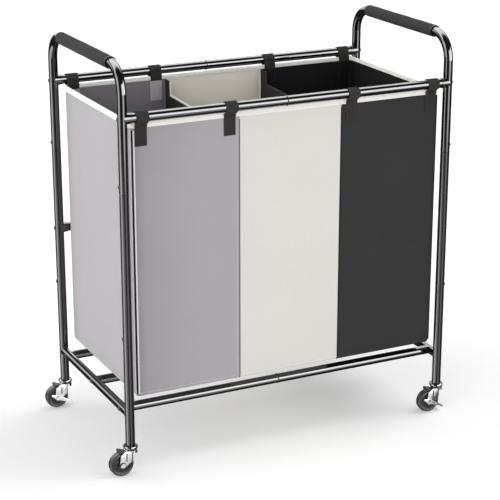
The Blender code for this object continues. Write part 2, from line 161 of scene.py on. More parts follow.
def add_camera():
    data = bpy.data.cameras.new("camera")
    data.lens = LENS
    data.sensor_width = SENSOR
    camera = bpy.data.objects.new("camera", data)
    away = Vector((-math.sin(VIEW_AZIMUTH), -math.cos(VIEW_AZIMUTH), 0)) * VIEW_DISTANCE
    camera.location = Vector((CENTRE_X, 0, VIEW_HEIGHT)) + away
    camera.rotation_euler = (math.pi / 2 - VIEW_TILT, 0, -VIEW_AZIMUTH)
    bpy.context.scene.collection.objects.link(camera)
    bpy.context.scene.camera = camera


def add_key_light():
    """A broad, distant light. Shiny pieces don't mirror it."""
    data = bpy.data.lights.new("key", "SUN")
    data.angle = KEY_SPREAD
    data.energy = KEY_STRENGTH
    light = bpy.data.objects.new("key", data)
    light.rotation_euler = (-Vector(KEY_DIRECTION)).to_track_quat("-Z", "Y").to_euler()
    light.visible_glossy = False
    bpy.context.scene.collection.objects.link(light)


class NodeTree:
    """Short calls for the nodes that the materials and the studio are made of."""

    def __init__(self, tree):
        self.tree = tree

    def node(self, kind, inputs=None, **values):
        made = self.tree.nodes.new(kind)
        for name, value in values.items():
            setattr(made, name, value)
        for socket, value in (inputs or {}).items():
            self.put(made.inputs[socket], value)
        return made

    def link(self, source, target):
        self.tree.links.new(source, target)

    def put(self, socket, value):
        """A socket takes another socket's output, a number, or a colour of three."""
        if isinstance(value, bpy.types.NodeSocket):
            self.link(value, socket)
        elif socket.type == "RGBA":
            socket.default_value = (*value, 1)
        else:
            socket.default_value = value

    def math(self, operation, first, second=0.0):
        return self.node("ShaderNodeMath", {0: first, 1: second}, operation=operation).outputs[0]

    def times(self, first, second):
        return self.math("MULTIPLY", first, second)

    def plus(self, first, second):
        return self.math("ADD", first, second)

    def fade(self, value, start, end, low=0.0, high=1.0):
        """Low below start, high above end, and a smooth change between them."""
        limits = {"From Min": start, "From Max": end, "To Min": low, "To Max": high}
        made = self.node("ShaderNodeMapRange", {"Value": value, **limits}, interpolation_type="SMOOTHSTEP")
        return made.outputs["Result"]

    def noise(self, place, scale, detail=2.0, stretch=(1, 1, 1)):
        mapping = self.node("ShaderNodeMapping", {"Scale": stretch, "Vector": place})
        inputs = {"Scale": scale, "Detail": detail, "Vector": mapping.outputs["Vector"]}
        return self.node("ShaderNodeTexNoise", inputs).outputs["Fac"]

    def mix(self, factor, first, second, kind="RGBA"):
        inputs = {"Factor": factor, "A": first, "B": second}
        return self.node("ShaderNodeMix", inputs, data_type=kind).outputs["Result"]

    def bump(self, shader, height, strength, distance):
        made = self.node("ShaderNodeBump", {"Strength": strength, "Distance": distance, "Height": height})
        self.link(made.outputs["Normal"], shader.inputs["Normal"])

    def split(self, vector):
        return self.node("ShaderNodeSeparateXYZ", {0: vector}).outputs


def compass_window(nodes, sideways, direction, outer, inner):
    """One within the inner angle of a compass direction, and zero beyond the outer angle."""
    turn = math.radians(direction)
    towards = (math.cos(turn), math.sin(turn), 0)
    dot = nodes.node("ShaderNodeVectorMath", {0: sideways, 1: towards}, operation="DOT_PRODUCT")
    return nodes.fade(dot.outputs["Value"], math.cos(math.radians(outer)), math.cos(math.radians(inner)))


def softbox(nodes, sideways, z, direction, low, high, outer, inner, level):
    shape = compass_window(nodes, sideways, direction, outer, inner)
    for start, end in ((low - BOX_EDGE, low + BOX_EDGE), (high + BOX_EDGE, high - BOX_EDGE)):
        shape = nodes.times(shape, nodes.fade(z, start, end))
    return nodes.times(shape, level)


def add_studio():
    """An even white sky for matt pieces, and for glossy ones a dim room with softboxes."""
    world = bpy.data.worlds.new("studio")
    world.use_nodes = True
    world.cycles.sampling_method = "NONE"
    bpy.context.scene.world = world
    nodes = NodeTree(world.node_tree)
    background = world.node_tree.nodes["Background"]
    x, y, z = nodes.split(nodes.node("ShaderNodeTexCoord").outputs["Generated"])
    level = nodes.node("ShaderNodeCombineXYZ", {0: x, 1: y})
    unit = nodes.node("ShaderNodeVectorMath", {0: level.outputs[0]}, operation="NORMALIZE")
    overhead = nodes.times(nodes.fade(z, 0.50, 0.60), nodes.fade(y, -0.05, 0.30))
    mirrored = nodes.plus(nodes.times(overhead, OVERHEAD), DIM_ROOM)
    for box in SOFTBOXES:
        mirrored = nodes.plus(mirrored, softbox(nodes, unit.outputs["Vector"], z, *box))
    leftward = nodes.fade(x, 0.15, -0.75)
    glow = nodes.times(leftward, LEFT_GLOW)
    glow = nodes.plus(glow, nodes.times(nodes.fade(x, -0.15, 0.75), RIGHT_GLOW))
    sky = nodes.plus(nodes.times(glow, nodes.fade(z, 0.88, 0.45)), SKY)
    rays = nodes.node("ShaderNodeLightPath").outputs
    seen = nodes.mix(rays["Is Camera Ray"], sky, BACKDROP, "FLOAT")
    strength = nodes.mix(rays["Is Glossy Ray"], seen, mirrored, "FLOAT")
    nodes.link(nodes.mix(leftward, (1, 1, 1), LEFT_TINT), background.inputs["Color"])
    nodes.link(strength, background.inputs["Strength"])


def add_floor():
    points = [(x, y, 0) for x, y in box_outline(-FLOOR_HALF, -FLOOR_HALF, FLOOR_HALF, FLOOR_HALF)]
    floor = add_mesh("floor", (points, [(0, 1, 2, 3)]), floor_look())
    floor.visible_glossy = False


# ---- materials ----


def new_look(name, fixed):
    """A material with fixed inputs: it, its node calls, its shader, and object coordinates."""
    look = bpy.data.materials.new(name)
    look.use_nodes = True
    nodes = NodeTree(look.node_tree)
    shader = look.node_tree.nodes["Principled BSDF"]
    for socket, value in fixed.items():
        nodes.put(shader.inputs[socket], value)
    return look, nodes, shader, nodes.node("ShaderNodeTexCoord").outputs["Object"]


def shades(colour, spread):
    """A darker and a lighter version of a colour."""
    return tuple(c * (1 - spread) for c in colour), tuple(min(c * (1 + spread), 1) for c in colour)


def vary(nodes, shader, factor, colour, spread):
    darker, lighter = shades(colour, spread)
    nodes.link(nodes.mix(factor, darker, lighter), shader.inputs["Base Color"])


def vary_roughness(nodes, shader, factor, low, high):
    nodes.link(nodes.fade(factor, 0.3, 0.7, low, high), shader.inputs["Roughness"])


def floor_look():
    dull = {"Roughness": 0.9, "Specular IOR Level": 0.0}
    glow = {"Emission Color": (1, 1, 1), "Emission Strength": 0.16}
    look, nodes, shader, place = new_look("pale_floor", {**dull, **glow})
    vary(nodes, shader, nodes.noise(place, 1.5), (0.90, 0.90, 0.90), 0.004)
    return look


def hard_look(name, colour, spread, clouds, smears, roughness, grain, strength, fixed):
    """A hard surface. Clouds, smears and grain are the noises in its colour, roughness and height."""
    look, nodes, shader, place = new_look(name, fixed)
    vary(nodes, shader, nodes.noise(place, *clouds), colour, spread)
    vary_roughness(nodes, shader, nodes.noise(place, *smears), *roughness)
    nodes.bump(shader, nodes.noise(place, *grain), strength, 0.0002)
    return look


def lacquer_look(name, colour, spread, roughness, strength, fixed):
    """Glossy black lacquer with a faint orange peel."""
    return hard_look(name, colour, spread, (18, 4), (40, 3), roughness, (600, 2), strength, fixed)


def plastic_look(name, colour, roughness):
    span = (roughness - 0.06, roughness + 0.08)
    return hard_look(name, colour, 0.15, (60, 4), (90, 3), span, (900, 2), 0.12, {})


def zinc_look(name, shade):
    """Zinc plate: faint spangle and drawing lines."""
    colour = (shade, shade, shade * 1.01)
    smears = (120, 3, (1, 1, 9))
    lines = (500, 3, (1, 1, 6))
    return hard_look(name, colour, 0.10, (160, 5), smears, (0.14, 0.24), lines, 0.10, {"Metallic": 1.0})


def foam_look():
    """Dense foam rubber: closed cells under a dull skin."""
    look, nodes, shader, place = new_look("grip_foam", {"Roughness": 0.95, "Specular IOR Level": 0.15})
    cells = nodes.node("ShaderNodeTexVoronoi", {"Scale": 700, "Vector": place}).outputs["Distance"]
    grain = nodes.plus(nodes.times(cells, 0.6), nodes.noise(place, 300, 4))
    vary(nodes, shader, nodes.fade(grain, 0.4, 1.1), (0.036, 0.036, 0.036), 0.30)
    nodes.bump(shader, grain, 0.8, 0.0008)
    return look


def cloth_look(name, colour, pitch, spread=0.035, depth=0.25, sheen=0.05):
    """Plain weave: crossing threads of uneven thickness, over slow changes of shade."""
    fixed = {"Sheen Weight": sheen, "Sheen Roughness": 0.5, "Specular IOR Level": 0.15}
    look, nodes, shader, place = new_look(name, fixed)
    x, y, z = nodes.split(place)
    facing = nodes.split(nodes.node("ShaderNodeNewGeometry").outputs["Normal"])[2]
    lying = nodes.math("GREATER_THAN", nodes.math("ABSOLUTE", facing), 0.7)
    across = nodes.plus(x, nodes.times(y, nodes.math("SUBTRACT", 1.0, lying)))
    down = nodes.plus(z, nodes.times(y, lying))
    turns = 2 * math.pi / pitch
    warp = nodes.math("SINE", nodes.times(across, turns))
    weft = nodes.math("SINE", nodes.times(down, turns))
    weave = nodes.times(warp, weft)
    slub = nodes.plus(nodes.noise(place, 300, 2, (1, 1, 0.04)), nodes.noise(place, 300, 2, (0.04, 0.04, 1)))
    cloudy = nodes.noise(place, 7, 3)
    fibre = nodes.plus(nodes.times(weave, 0.12), nodes.times(slub, 0.5))
    shade = nodes.plus(nodes.times(fibre, 0.5), nodes.times(cloudy, 0.5))
    vary(nodes, shader, nodes.fade(shade, 0.25, 0.75), colour, spread)
    vary_roughness(nodes, shader, cloudy, 0.80, 0.92)
    height = nodes.plus(nodes.times(weave, 0.5), slub)
    nodes.bump(shader, height, depth, 0.0004)
    return look


def paint_shade_at_front_corner(look):
    """Painted shade: the grey front is a little darker toward the corner of the bag, where the post shades
    it.
    """
    nodes = NodeTree(look.node_tree)
    shader = look.node_tree.nodes["Principled BSDF"]
    base = shader.inputs["Base Color"]
    x = nodes.split(nodes.node("ShaderNodeTexCoord").outputs["Object"])[0]
    facing = nodes.split(nodes.node("ShaderNodeNewGeometry").outputs["Normal"])[1]
    front = nodes.math("LESS_THAN", facing, -0.7)
    narrow = nodes.times(nodes.fade(x, BAG_LEFT_X + 28 * MM, BAG_LEFT_X), 0.13)
    wide = nodes.times(nodes.fade(x, BAG_LEFT_X + 170 * MM, BAG_LEFT_X), 0.14)
    painted_shade = nodes.times(nodes.plus(narrow, wide), front)
    # Base colour mixed toward black near the corner: painted shade.
    nodes.link(nodes.mix(painted_shade, base.links[0].from_socket, (0, 0, 0)), base)


def pile_look(name, colour, hooks, hooks_below):
    """The fuzzy loops of hook-and-loop tape, and below a height its browner hooks."""
    look, nodes, shader, place = new_look(name, {"Roughness": 0.95, "Specular IOR Level": 0.1})
    loops = nodes.noise(place, 900, 6)
    height = nodes.split(place)[2]
    fuzz = nodes.fade(loops, 0.3, 0.7)
    above = nodes.fade(height, hooks_below - 0.5 * MM, hooks_below + 0.5 * MM)
    loop_colour = nodes.mix(fuzz, *shades(colour, 0.45))
    hook_colour = nodes.mix(fuzz, *shades(hooks, 0.45))
    nodes.link(nodes.mix(above, hook_colour, loop_colour), shader.inputs["Base Color"])
    nodes.bump(shader, loops, 0.9, 0.0008)
    return look


LOOKS = {}
# Plastics: key, name, colour and roughness
PLASTICS = (
    ("ring", "joint_ring", (0.012, 0.012, 0.012), 0.45),
    ("screw", "black_screw", (0.030, 0.030, 0.032), 0.32),
    ("tyre", "tyre_rubber", (0.030, 0.030, 0.031), 0.28),
    ("hub", "wheel_hub", (0.006, 0.006, 0.006), 0.45),
    ("dark_block", "dark_tread_block", (0.020, 0.020, 0.019), 0.45),
)
# Cloths: key, name, colour and pitch of the threads, and if not cloth_look's own, spread, depth and sheen
CLOTHS = (
    ("grey", "grey_cloth", (0.372, 0.352, 0.376), 0.9 * MM, 0.03, 0.18),
    ("cream", "cream_cloth", (0.665, 0.646, 0.611), 0.9 * MM, 0.025, 0.15),
    ("black", "black_cloth", (0.031, 0.031, 0.031), 0.9 * MM, 0.08, 0.25, 0.0),
    ("grey_thread", "grey_thread", (0.74, 0.73, 0.74), 0.4 * MM),
    ("cream_thread", "cream_thread", (0.80, 0.78, 0.74), 0.4 * MM),
    ("black_thread", "black_thread", (0.048, 0.048, 0.048), 0.4 * MM, 0.035, 0.25, 0.0),
    # The grey hem rolls are painted far lighter than the grey cloth: painted light along the corner.
    ("grey_hem", "grey_hem", (0.860, 0.840, 0.860), 0.7 * MM),
    ("grey_patch", "grey_patch", (0.470, 0.445, 0.475), 0.7 * MM),
    # The inner sides are painted light and shade: the cream lighter and warmer than its outer cloth, the
    # grey and the black darker.
    ("grey_lining", "grey_lining", (0.231, 0.218, 0.237), 0.9 * MM, 0.03, 0.18),
    ("cream_lining", "cream_lining", (0.90, 0.85, 0.75), 0.9 * MM, 0.025, 0.15),
    ("black_lining", "black_lining", (0.009, 0.009, 0.009), 0.9 * MM, 0.08, 0.25, 0.0),
    ("grey_seam", "grey_seam", (0.150, 0.145, 0.130), 0.5 * MM),
    ("piping", "dark_piping", (0.010, 0.009, 0.011), 0.5 * MM, 0.035, 0.25, 0.0),
    ("tape", "binding_tape", (0.880, 0.860, 0.815), 0.6 * MM, 0.04, 0.35),
    ("dark_tape", "dark_binding", (0.036, 0.035, 0.033), 0.6 * MM, 0.06, 0.35),
    ("strap", "strap_webbing", (0.030, 0.028, 0.028), 1.1 * MM, 0.18, 0.5, 0.0),
)


def make_looks():
    coat = {"Coat Weight": 1.0, "Coat Roughness": 0.04}
    metal = {"Metallic": 1.0}
    # One black lacquer in two copies: the second reflects more strongly, a painted reflection on the hoops,
    # rails, end rails and saddles.
    LOOKS.update(
        lacquer=lacquer_look("black_lacquer", (0.010, 0.010, 0.011), 0.25, (0.07, 0.12), 0.06, coat),
        bright=lacquer_look("bright_lacquer", (0.12, 0.12, 0.12), 0.10, (0.06, 0.11), 0.05, metal),
        zinc=zinc_look("zinc_plate", 0.62),
        # The bearing cups take a darker copy of the zinc plate: painted shade.
        cup=zinc_look("zinc_plate_painted_shade", 0.26),
        foam=foam_look(),
        pile=pile_look("strap_pile", (0.034, 0.034, 0.031), (0.036, 0.029, 0.025), BINDING_TOP - 1.5 * MM),
    )
    for key, name, colour, roughness in PLASTICS:
        LOOKS[key] = plastic_look(name, colour, roughness)
    for key, name, colour, *weave in CLOTHS:
        LOOKS[key] = cloth_look(name, colour, *weave)
    paint_shade_at_front_corner(LOOKS["grey"])


# ---- meshes ----


def add_mesh(name, solid, look, sharp=40):
    """A smooth object from a solid's (points, faces), with edges sharper than an angle in degrees."""
    points, faces = solid
    mesh = bpy.data.meshes.new(name)
    mesh.from_pydata([tuple(point) for point in points], [], faces)
    bm = bmesh.new()
    bm.from_mesh(mesh)
    bmesh.ops.remove_doubles(bm, verts=bm.verts, dist=1e-7)
    bmesh.ops.recalc_face_normals(bm, faces=bm.faces)
    bm.to_mesh(mesh)
    bm.free()
    mesh.materials.append(look)
    mesh.shade_smooth()
    mesh.set_sharp_from_angle(angle=math.radians(sharp))
    piece = bpy.data.objects.new(name, mesh)
    bpy.context.scene.collection.objects.link(piece)
    return piece


def add_part(name, solid, look, nodes=(), sharp=40, body="root"):
    """A piece of the cart: it rides a body, takes a look, and stands for its CAD nodes, which it hides."""
    piece = add_mesh(name, solid, LOOKS[look], sharp)
    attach(piece, body)
    if nodes:
        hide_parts(*nodes)
    return piece


def joined(solids):
    points = []
    faces = []
    for more_points, more_faces in solids:
        start = len(points)
        points += more_points
        faces += [tuple(start + k for k in face) for face in more_faces]
    return points, faces


def moved(solid, place):
    return [place @ Vector(point) for point in solid[0]], solid[1]


def loft(rings, closed=False):
    """Skin over rings of equally many points, which close on themselves or else end in caps."""
    count = len(rings[0])
    points = [point for ring in rings for point in ring]
    faces = []
    last = len(rings) if closed else len(rings) - 1
    for i in range(last):
        here = i * count
        there = (i + 1) % len(rings) * count
        for k in range(count):
            after = (k + 1) % count
            faces.append((here + k, here + after, there + after, there + k))
    if not closed:
        faces.append(tuple(reversed(range(count))))
        faces.append(tuple(range(len(points) - count, len(points))))
    return points, faces


def ring_at(radius, height, count, reach=lambda a: 1.0):
    """A ring round Z. At each angle the reach scales its radius."""
    sizes = [(a, radius * reach(a)) for a in circle(count)]
    return [Vector((size * math.cos(a), size * math.sin(a), height)) for a, size in sizes]


def turned(profile, segments=ROUND, closed=False):
    """A profile of (radius, height) points turned about Z."""
    return loft([ring_at(radius, height, segments) for radius, height in profile], closed)


def mirrored(profile):
    """A profile of (radius, height) points, followed by its mirror image across height zero."""
    return profile + [(radius, -height) for radius, height in reversed(profile)]


def rod_profile(radius, low, high, edge=END_CHAMFER):
    """A rod with chamfered ends."""
    return [(radius - edge, low), (radius, low + edge), (radius, high - edge), (radius - edge, high)]


def along(direction, place):
    """Z turned to a direction, and moved to a place."""
    turn = Z_AXIS.rotation_difference(Vector(direction))
    return Matrix.Translation(place) @ turn.to_matrix().to_4x4()


def tangents(path, closed=False):
    """The path's direction at each of its points."""
    directions = []
    count = len(path)
    for i in range(count):
        before = path[i - 1] if closed or i else path[0]
        after = path[(i + 1) % count] if closed or i < count - 1 else path[-1]
        directions.append((after - before).normalized())
    return directions


def cord_solid(path, radius, segments, closed=False):
    """A round cord along a path of points."""
    lean = Vector((0.13, 0.31, 0.94))  # a direction that no cord here runs in
    rings = []
    for point, tangent in zip(path, tangents(path, closed)):
        side = tangent.cross(lean).normalized()
        up = side.cross(tangent)
        rings.append([point + radius * (math.cos(a) * side + math.sin(a) * up) for a in circle(segments)])
    return loft(rings, closed)


def box_outline(left, low, right, top):
    return [(left, low), (right, low), (right, top), (left, top)]


def rounded(outline, radius, steps=5):
    """A closed outline of (x, z) points with its corners rounded."""
    curve = []
    count = len(outline)
    for i, (x, z) in enumerate(outline):
        corner = Vector((x, z))
        before = Vector(outline[i - 1])
        after = Vector(outline[(i + 1) % count])
        reach = min(radius, 0.45 * (before - corner).length, 0.45 * (after - corner).length)
        start = corner + (before - corner).normalized() * reach
        end = corner + (after - corner).normalized() * reach
        for step in range(steps + 1):
            t = step / steps
            curve.append((1 - t) ** 2 * start + 2 * t * (1 - t) * corner + t * t * end)
    return [(point.x, point.y) for point in curve]


def plate(outline, near_y, far_y, bevel):
    """A flat plate with this (x, z) outline, its edges rounded off."""
    bm = bmesh.new()
    face = bm.faces.new([bm.verts.new((x, near_y, z)) for x, z in outline])
    grown = bmesh.ops.extrude_face_region(bm, geom=[face])["geom"]
    moving = [item for item in grown if isinstance(item, bmesh.types.BMVert)]
    bmesh.ops.translate(bm, verts=moving, vec=(0, far_y - near_y, 0))
    rims = [edge for edge in bm.edges if abs(edge.verts[0].co.y - edge.verts[1].co.y) < 1e-9]
    bmesh.ops.bevel(bm, geom=rims, offset=bevel, segments=2, profile=0.7, affect="EDGES")
    bm.verts.index_update()
    points = [vert.co.copy() for vert in bm.verts]
    faces = [tuple(vert.index for vert in face.verts) for face in bm.faces]
    bm.free()
    return points, faces


def disc_points(centre_x, centre_z, radius, start, end, steps):
    """Points along an arc, from one angle in degrees to another."""
    turns = [math.radians(start + (end - start) * k / steps) for k in range(steps + 1)]
    return [(centre_x + radius * math.cos(a), centre_z + radius * math.sin(a)) for a in turns]


WALL_STITCH = (3.0 * MM, 4.2 * MM, 0.32 * MM)  # length, pitch and thread radius
BINDING_STITCH = (2.6 * MM, 3.8 * MM, 0.28 * MM)
STRAP_STITCH = (2.4 * MM, 3.4 * MM, 0.26 * MM)


def stitch_row(path, normal_of, stitch):
    """Stitches along a path: short thread humps lying on the surface."""
    length, pitch, radius = stitch
    turns = [math.pi / 3 * k for k in range(6)]
    solids = []
    travelled = 0.0
    due = pitch / 2
    for start, end in zip(path, path[1:]):
        span = (end - start).length
        if span < 1e-9:
            continue
        tangent = (end - start) / span
        while due <= travelled + span:
            centre = start + tangent * (due - travelled)
            normal = Vector(normal_of(centre)).normalized()
            side = tangent.cross(normal)
            rings = []
            for offset, size in ((-0.5, 0.35), (-0.25, 1.0), (0.25, 1.0), (0.5, 0.35)):
                heart = centre + tangent * (offset * length)
                thick = radius * size
                rings.append([heart + thick * (math.cos(a) * side + math.sin(a) * normal) for a in turns])
            solids.append(loft(rings))
            due += pitch
        travelled += span
    return joined(solids)


# ---- tube frame ----


def add_tube(name, solid, look, node):
    add_part(name, solid, look, [node])


def hoop_bends():
    """The handle hoop's two bends, as (y, z, angle turned through, inset of the tube's surface)."""
    steps = 18
    stations = []
    for side, begun in ((-1, 0.0), (1, math.pi / 2)):
        corner_y = BACK_Y * side - side * HANDLE_BEND_R
        for step in range(steps + 1):
            turn = math.pi / 2 * step / steps + begun
            y = corner_y - HANDLE_BEND_R * math.cos(turn)
            stations.append((y, HANDLE_Z - HANDLE_BEND_R + HANDLE_BEND_R * math.sin(turn), turn, 0.0))
    return stations


def add_hoop(end, x):
    low = UPPER_JOINT_Z
    front_foot = [(FRONT_Y, low, 0.0, END_CHAMFER), (FRONT_Y, low + END_CHAMFER, 0.0, 0.0)]
    back_foot = [(BACK_Y, low + END_CHAMFER, math.pi, 0.0), (BACK_Y, low, math.pi, END_CHAMFER)]
    rings = []
    for y, z, turn, inset in front_foot + hoop_bends() + back_foot:
        outward = Vector((0, -math.cos(turn), math.sin(turn)))
        radius = TUBE_R - inset
        centre = Vector((x, y, z))
        ring = [math.cos(a) * outward + Vector((math.sin(a), 0, 0)) for a in circle(ROUND)]
        rings.append([centre + radius * spoke for spoke in ring])
    add_tube(f"{end}_hoop_tube", loft(rings), "bright", f"{end}_handle_hoop")


def add_post(corner):
    place = POSTS[corner]
    profile = rod_profile(TUBE_R, LOWER_JOINT_Z, UPPER_JOINT_Z - JOINT_GAP)
    tube = moved(turned(profile), Matrix.Translation((place.x, place.y, 0)))
    add_tube(f"{corner}_post_tube", tube, "lacquer", f"{corner}_post")


def weld_bead(x, leg_y, side):
    """A weld bead where the end rail meets a leg, along the line where the two tubes cross."""
    path = []
    for a in circle(36):
        out_x = END_RAIL_R * math.cos(a)
        reach = math.sqrt(TUBE_R**2 - out_x**2)
        wobble = 0.3 * MM * math.sin(5 * a)
        z = END_RAIL_Z + END_RAIL_R * math.sin(a)
        path.append(Vector((x + out_x, leg_y + side * (reach + wobble), z)))
    return cord_solid(path, 1.1 * MM, 8, closed=True)


def add_lower_frame(end, x):
    solids = []
    for y in (FRONT_Y, BACK_Y):
        profile = rod_profile(TUBE_R, LEG_BOTTOM_Z, LOWER_JOINT_Z - JOINT_GAP)
        solids.append(moved(turned(profile), Matrix.Translation((x, y, 0))))
        solids.append(weld_bead(x, y, 1 if y < 0 else -1))
    add_tube(f"{end}_legs", joined(solids), "lacquer", f"{end}_lower_frame")
    rail = turned([(END_RAIL_R, FRONT_Y + 5 * MM), (END_RAIL_R, BACK_Y - 5 * MM)])
    rail = moved(rail, along((0, 1, 0), (x, 0, END_RAIL_Z)))
    add_tube(f"{end}_end_rail", rail, "bright", f"{end}_lower_frame")


def coped_rings(steps, other_r, upright=True):
    """Rings along +X from (radius, x). Where x is None, it fits round a tube, upright or along Y."""
    rings = []
    for radius, x in steps:
        ring = []
        for a in circle(ROUND):
            y = radius * math.cos(a)
            z = radius * math.sin(a)
            across = y if upright else z
            saddle = math.sqrt(max(other_r**2 - across**2, 0))
            ring.append(Vector((saddle if x is None else x, y, z)))
        rings.append(ring)
    return rings


def coped_rail(length, meets_post):
    """A rail along +X from the axis that it meets, its near end shaped round that tube."""
    other_r = (TUBE_R if meets_post else END_RAIL_R) + JOINT_GAP
    far_end = [(TUBE_R, length - END_CHAMFER), (TUBE_R - END_CHAMFER, length)]
    return loft(coped_rings([(TUBE_R * 0.8, None), (TUBE_R, None), *far_end], other_r, meets_post))


def saddle_collar():
    """A saddle between a rail and its post, along +X from the post's axis."""
    steps = [
        (TUBE_R + 0.05 * MM, None),
        (COLLAR_R + 0.5 * MM, None),
        (COLLAR_R + 0.5 * MM, COLLAR_END - 4.6 * MM),
        (COLLAR_R + 0.1 * MM, COLLAR_END - 4.2 * MM),
        (COLLAR_R + 0.1 * MM, COLLAR_END - 0.3 * MM),
        (TUBE_R + 0.3 * MM, COLLAR_END),
        (TUBE_R + 0.05 * MM, COLLAR_END),
    ]
    return loft(coped_rings(steps, TUBE_R + 0.15 * MM), closed=True)


def add_rail_fittings():
    """The saddles at the posts, and the dark rings where the rails' halves meet."""
    rings = []
    saddles = []
    half = 1.1 * MM
    proud = TUBE_R + 1.0 * MM
    ring = mirrored([(TUBE_R, -half), (proud - 0.5 * MM, -half), (proud, -half / 2)])
    for name in RAILS:
        rail = middle(f"{name}_left")
        rings.append(moved(turned(ring, closed=True), along((1, 0, 0), (RAIL_JOINT_X, rail.y, rail.z))))
        if name in BOTTOM_RAILS:
            continue
        for x, turn in ((LEFT_X, 0), (RIGHT_X, math.pi)):
            place = Matrix.Translation((x, rail.y, rail.z)) @ Matrix.Rotation(turn, 4, "Z")
            saddles.append(moved(saddle_collar(), place))
    add_part("rail_joint_rings", joined(rings), "ring")
    add_part("rail_saddles", joined(saddles), "bright")


def add_rail(name):
    """A rail's two halves. The upper rails run between posts, the bottom ones between the end rails."""
    meets_post = name in UPPER_RAILS
    left_half = middle(f"{name}_left")
    # The rails in the bag's shade take the darker lacquer, painted shade; the others take the painted
    # reflection.
    look = "lacquer" if name in RAILS_IN_BAG_SHADE else "bright"
    for end, x, turn, length in (
        ("left", LEFT_X, 0, RAIL_JOINT_X - JOINT_GAP - LEFT_X),
        ("right", RIGHT_X, math.pi, RIGHT_X - RAIL_JOINT_X),
    ):
        place = Matrix.Translation((x, left_half.y, left_half.z)) @ Matrix.Rotation(turn, 4, "Z")
        solid = moved(coped_rail(length, meets_post), place)
        add_tube(f"{name}_{end}_tube", solid, look, f"{name}_{end}")


def hexagonal(a):
    """A hexagon's reach at an angle, where its corners reach one."""
    sixth = math.pi / 3
    return math.cos(sixth / 2) / math.cos((a + sixth / 2) % sixth - sixth / 2)


def button_screw():
    """A button head with a hexagonal socket."""
    radius = 4.2 * MM
    rise = 2.3 * MM
    rim = 0.35 * MM
    socket = 1.5 * MM
    dome = [(radius, -1.0 * MM), (radius, rim)]
    dome += [(radius * math.cos(a), rim + (rise - rim) * math.sin(a)) for a in (0.4, 0.8, 1.1)]
    dome.append((radius * 0.45, rise * 0.93))
    rings = [ring_at(size, height, 24) for size, height in dome]
    rings += [ring_at(socket, rise * share, 24, hexagonal) for share in (0.93, 0.35)]
    return loft(rings)


def add_screws():
    """One screw at each joint of the posts and at each end of the rails."""
    solids = []
    screw = button_screw()
    past_joint = 14 * MM
    for corner, place in POSTS.items():
        outward = -1 if place.x < CENTRE_X else 1
        heights = [LOWER_JOINT_Z + past_joint, UPPER_JOINT_Z + past_joint, TOP_RAIL_Z]
        if corner.startswith("back"):
            heights.append(MIDDLE_RAIL_Z)
        for z in heights:
            solids.append(moved(screw, along((outward, 0, 0), (place.x + outward * TUBE_R, place.y, z))))
    for end_x, outward in ((LEFT_X, -1), (RIGHT_X, 1)):
        for name in BOTTOM_RAILS:
            place = (end_x + outward * END_RAIL_R, middle(f"{name}_left").y, END_RAIL_Z)
            solids.append(moved(screw, along((outward, 0, 0), place)))
    add_part("frame_screws", joined(solids), "screw", sharp=50)


def add_grip(end, x):
    """A foam sleeve, a little uneven, with soft ends between two dark lips."""
    low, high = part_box(f"{end}_grip")
    radius = (high.x - low.x) / 2
    length = high.y - low.y
    edge = 3.2 * MM
    bore = TUBE_R + 0.2 * MM
    bend = [(radius - edge + edge * math.sin(a), edge * math.cos(a)) for a in (0.35, 0.75, 1.15, 1.5)]
    steps = 46
    profile = [(bore, 0.9 * MM), (radius - edge, 0.1 * MM)]
    profile += [(r, edge - rise) for r, rise in bend]
    profile += [(radius, edge + (length - 2 * edge) * step / steps) for step in range(1, steps)]
    profile += [(r, length - edge + rise) for r, rise in reversed(bend)]
    profile += [(radius - edge, length - 0.1 * MM), (bore, length - 0.9 * MM)]
    from_low = along((0, 1, 0), (x, low.y, HANDLE_Z))
    from_high = along((0, -1, 0), (x, high.y, HANDLE_Z))
    sleeve, faces = moved(turned(profile, GRIP_ROUND, closed=True), from_low)
    points = []
    for point in sleeve:
        out = Vector((point.x - x, 0, point.z - HANDLE_Z))
        swell = 0.35 * MM * noise.noise(point * 38) if out.length > radius * 0.9 else 0
        points.append(point + out.normalized() * (swell - 0.2 * MM))
    grip = add_part(f"{end}_foam_grip", (points, faces), "foam", [f"{end}_grip"], 60)
    lip = mm((0.2, 1.0), (0.2, -1.6), (0.8, -2.1), at=(TUBE_R, 0))
    lip += mm((-1.1, -2.1), (-0.5, -1.5), (-0.5, 1.0), at=(radius, 0))
    lips = [moved(turned(lip, GRIP_ROUND, closed=True), place) for place in (from_low, from_high)]
    add_part(f"{end}_grip_lips", joined(lips), "ring")


def build_frame():
    for end, x in (("left", LEFT_X), ("right", RIGHT_X)):
        add_hoop(end, x)
        add_lower_frame(end, x)
        add_grip(end, x)
    for corner in CORNERS:
        add_post(corner)
    for name in RAILS:
        add_rail(name)
    add_rail_fittings()
    add_screws()


# ---- casters ----

TRAIL = POSTS["front_left"].x - middle("front_left_wheel").x
WHEEL_R = middle("front_left_wheel").z
HUB_LOW, HUB_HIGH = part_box("front_left_wheel")
HUB_HALF = (HUB_HIGH.y - HUB_LOW.y) / 2
FORK_LOW, FORK_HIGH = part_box("front_left_fork")
FORK_HALF = (FORK_HIGH.y - FORK_LOW.y) / 2
FORK_TOP = FORK_HIGH.z
HOOD_TOP = FORK_TOP - 0.4 * MM
LEVER_SLANT = math.radians(25)

# In millimetres: the left, right, low and top of each leg's pressed panels, and their lean in degrees; and
# the left, low, right and top of the dark strips of painted shade in the creases beside them
LEG_PANELS = ((-24.2, -13.8, 31.5, 46.6, -1.5), (-11.6, -1.2, 36.0, 50.0, 1.5))
LEG_SHADE_STRIPS = ((-13.6, 32.0, -11.6, 49.5), (-1.2, 34.0, 0.8, 50.0))
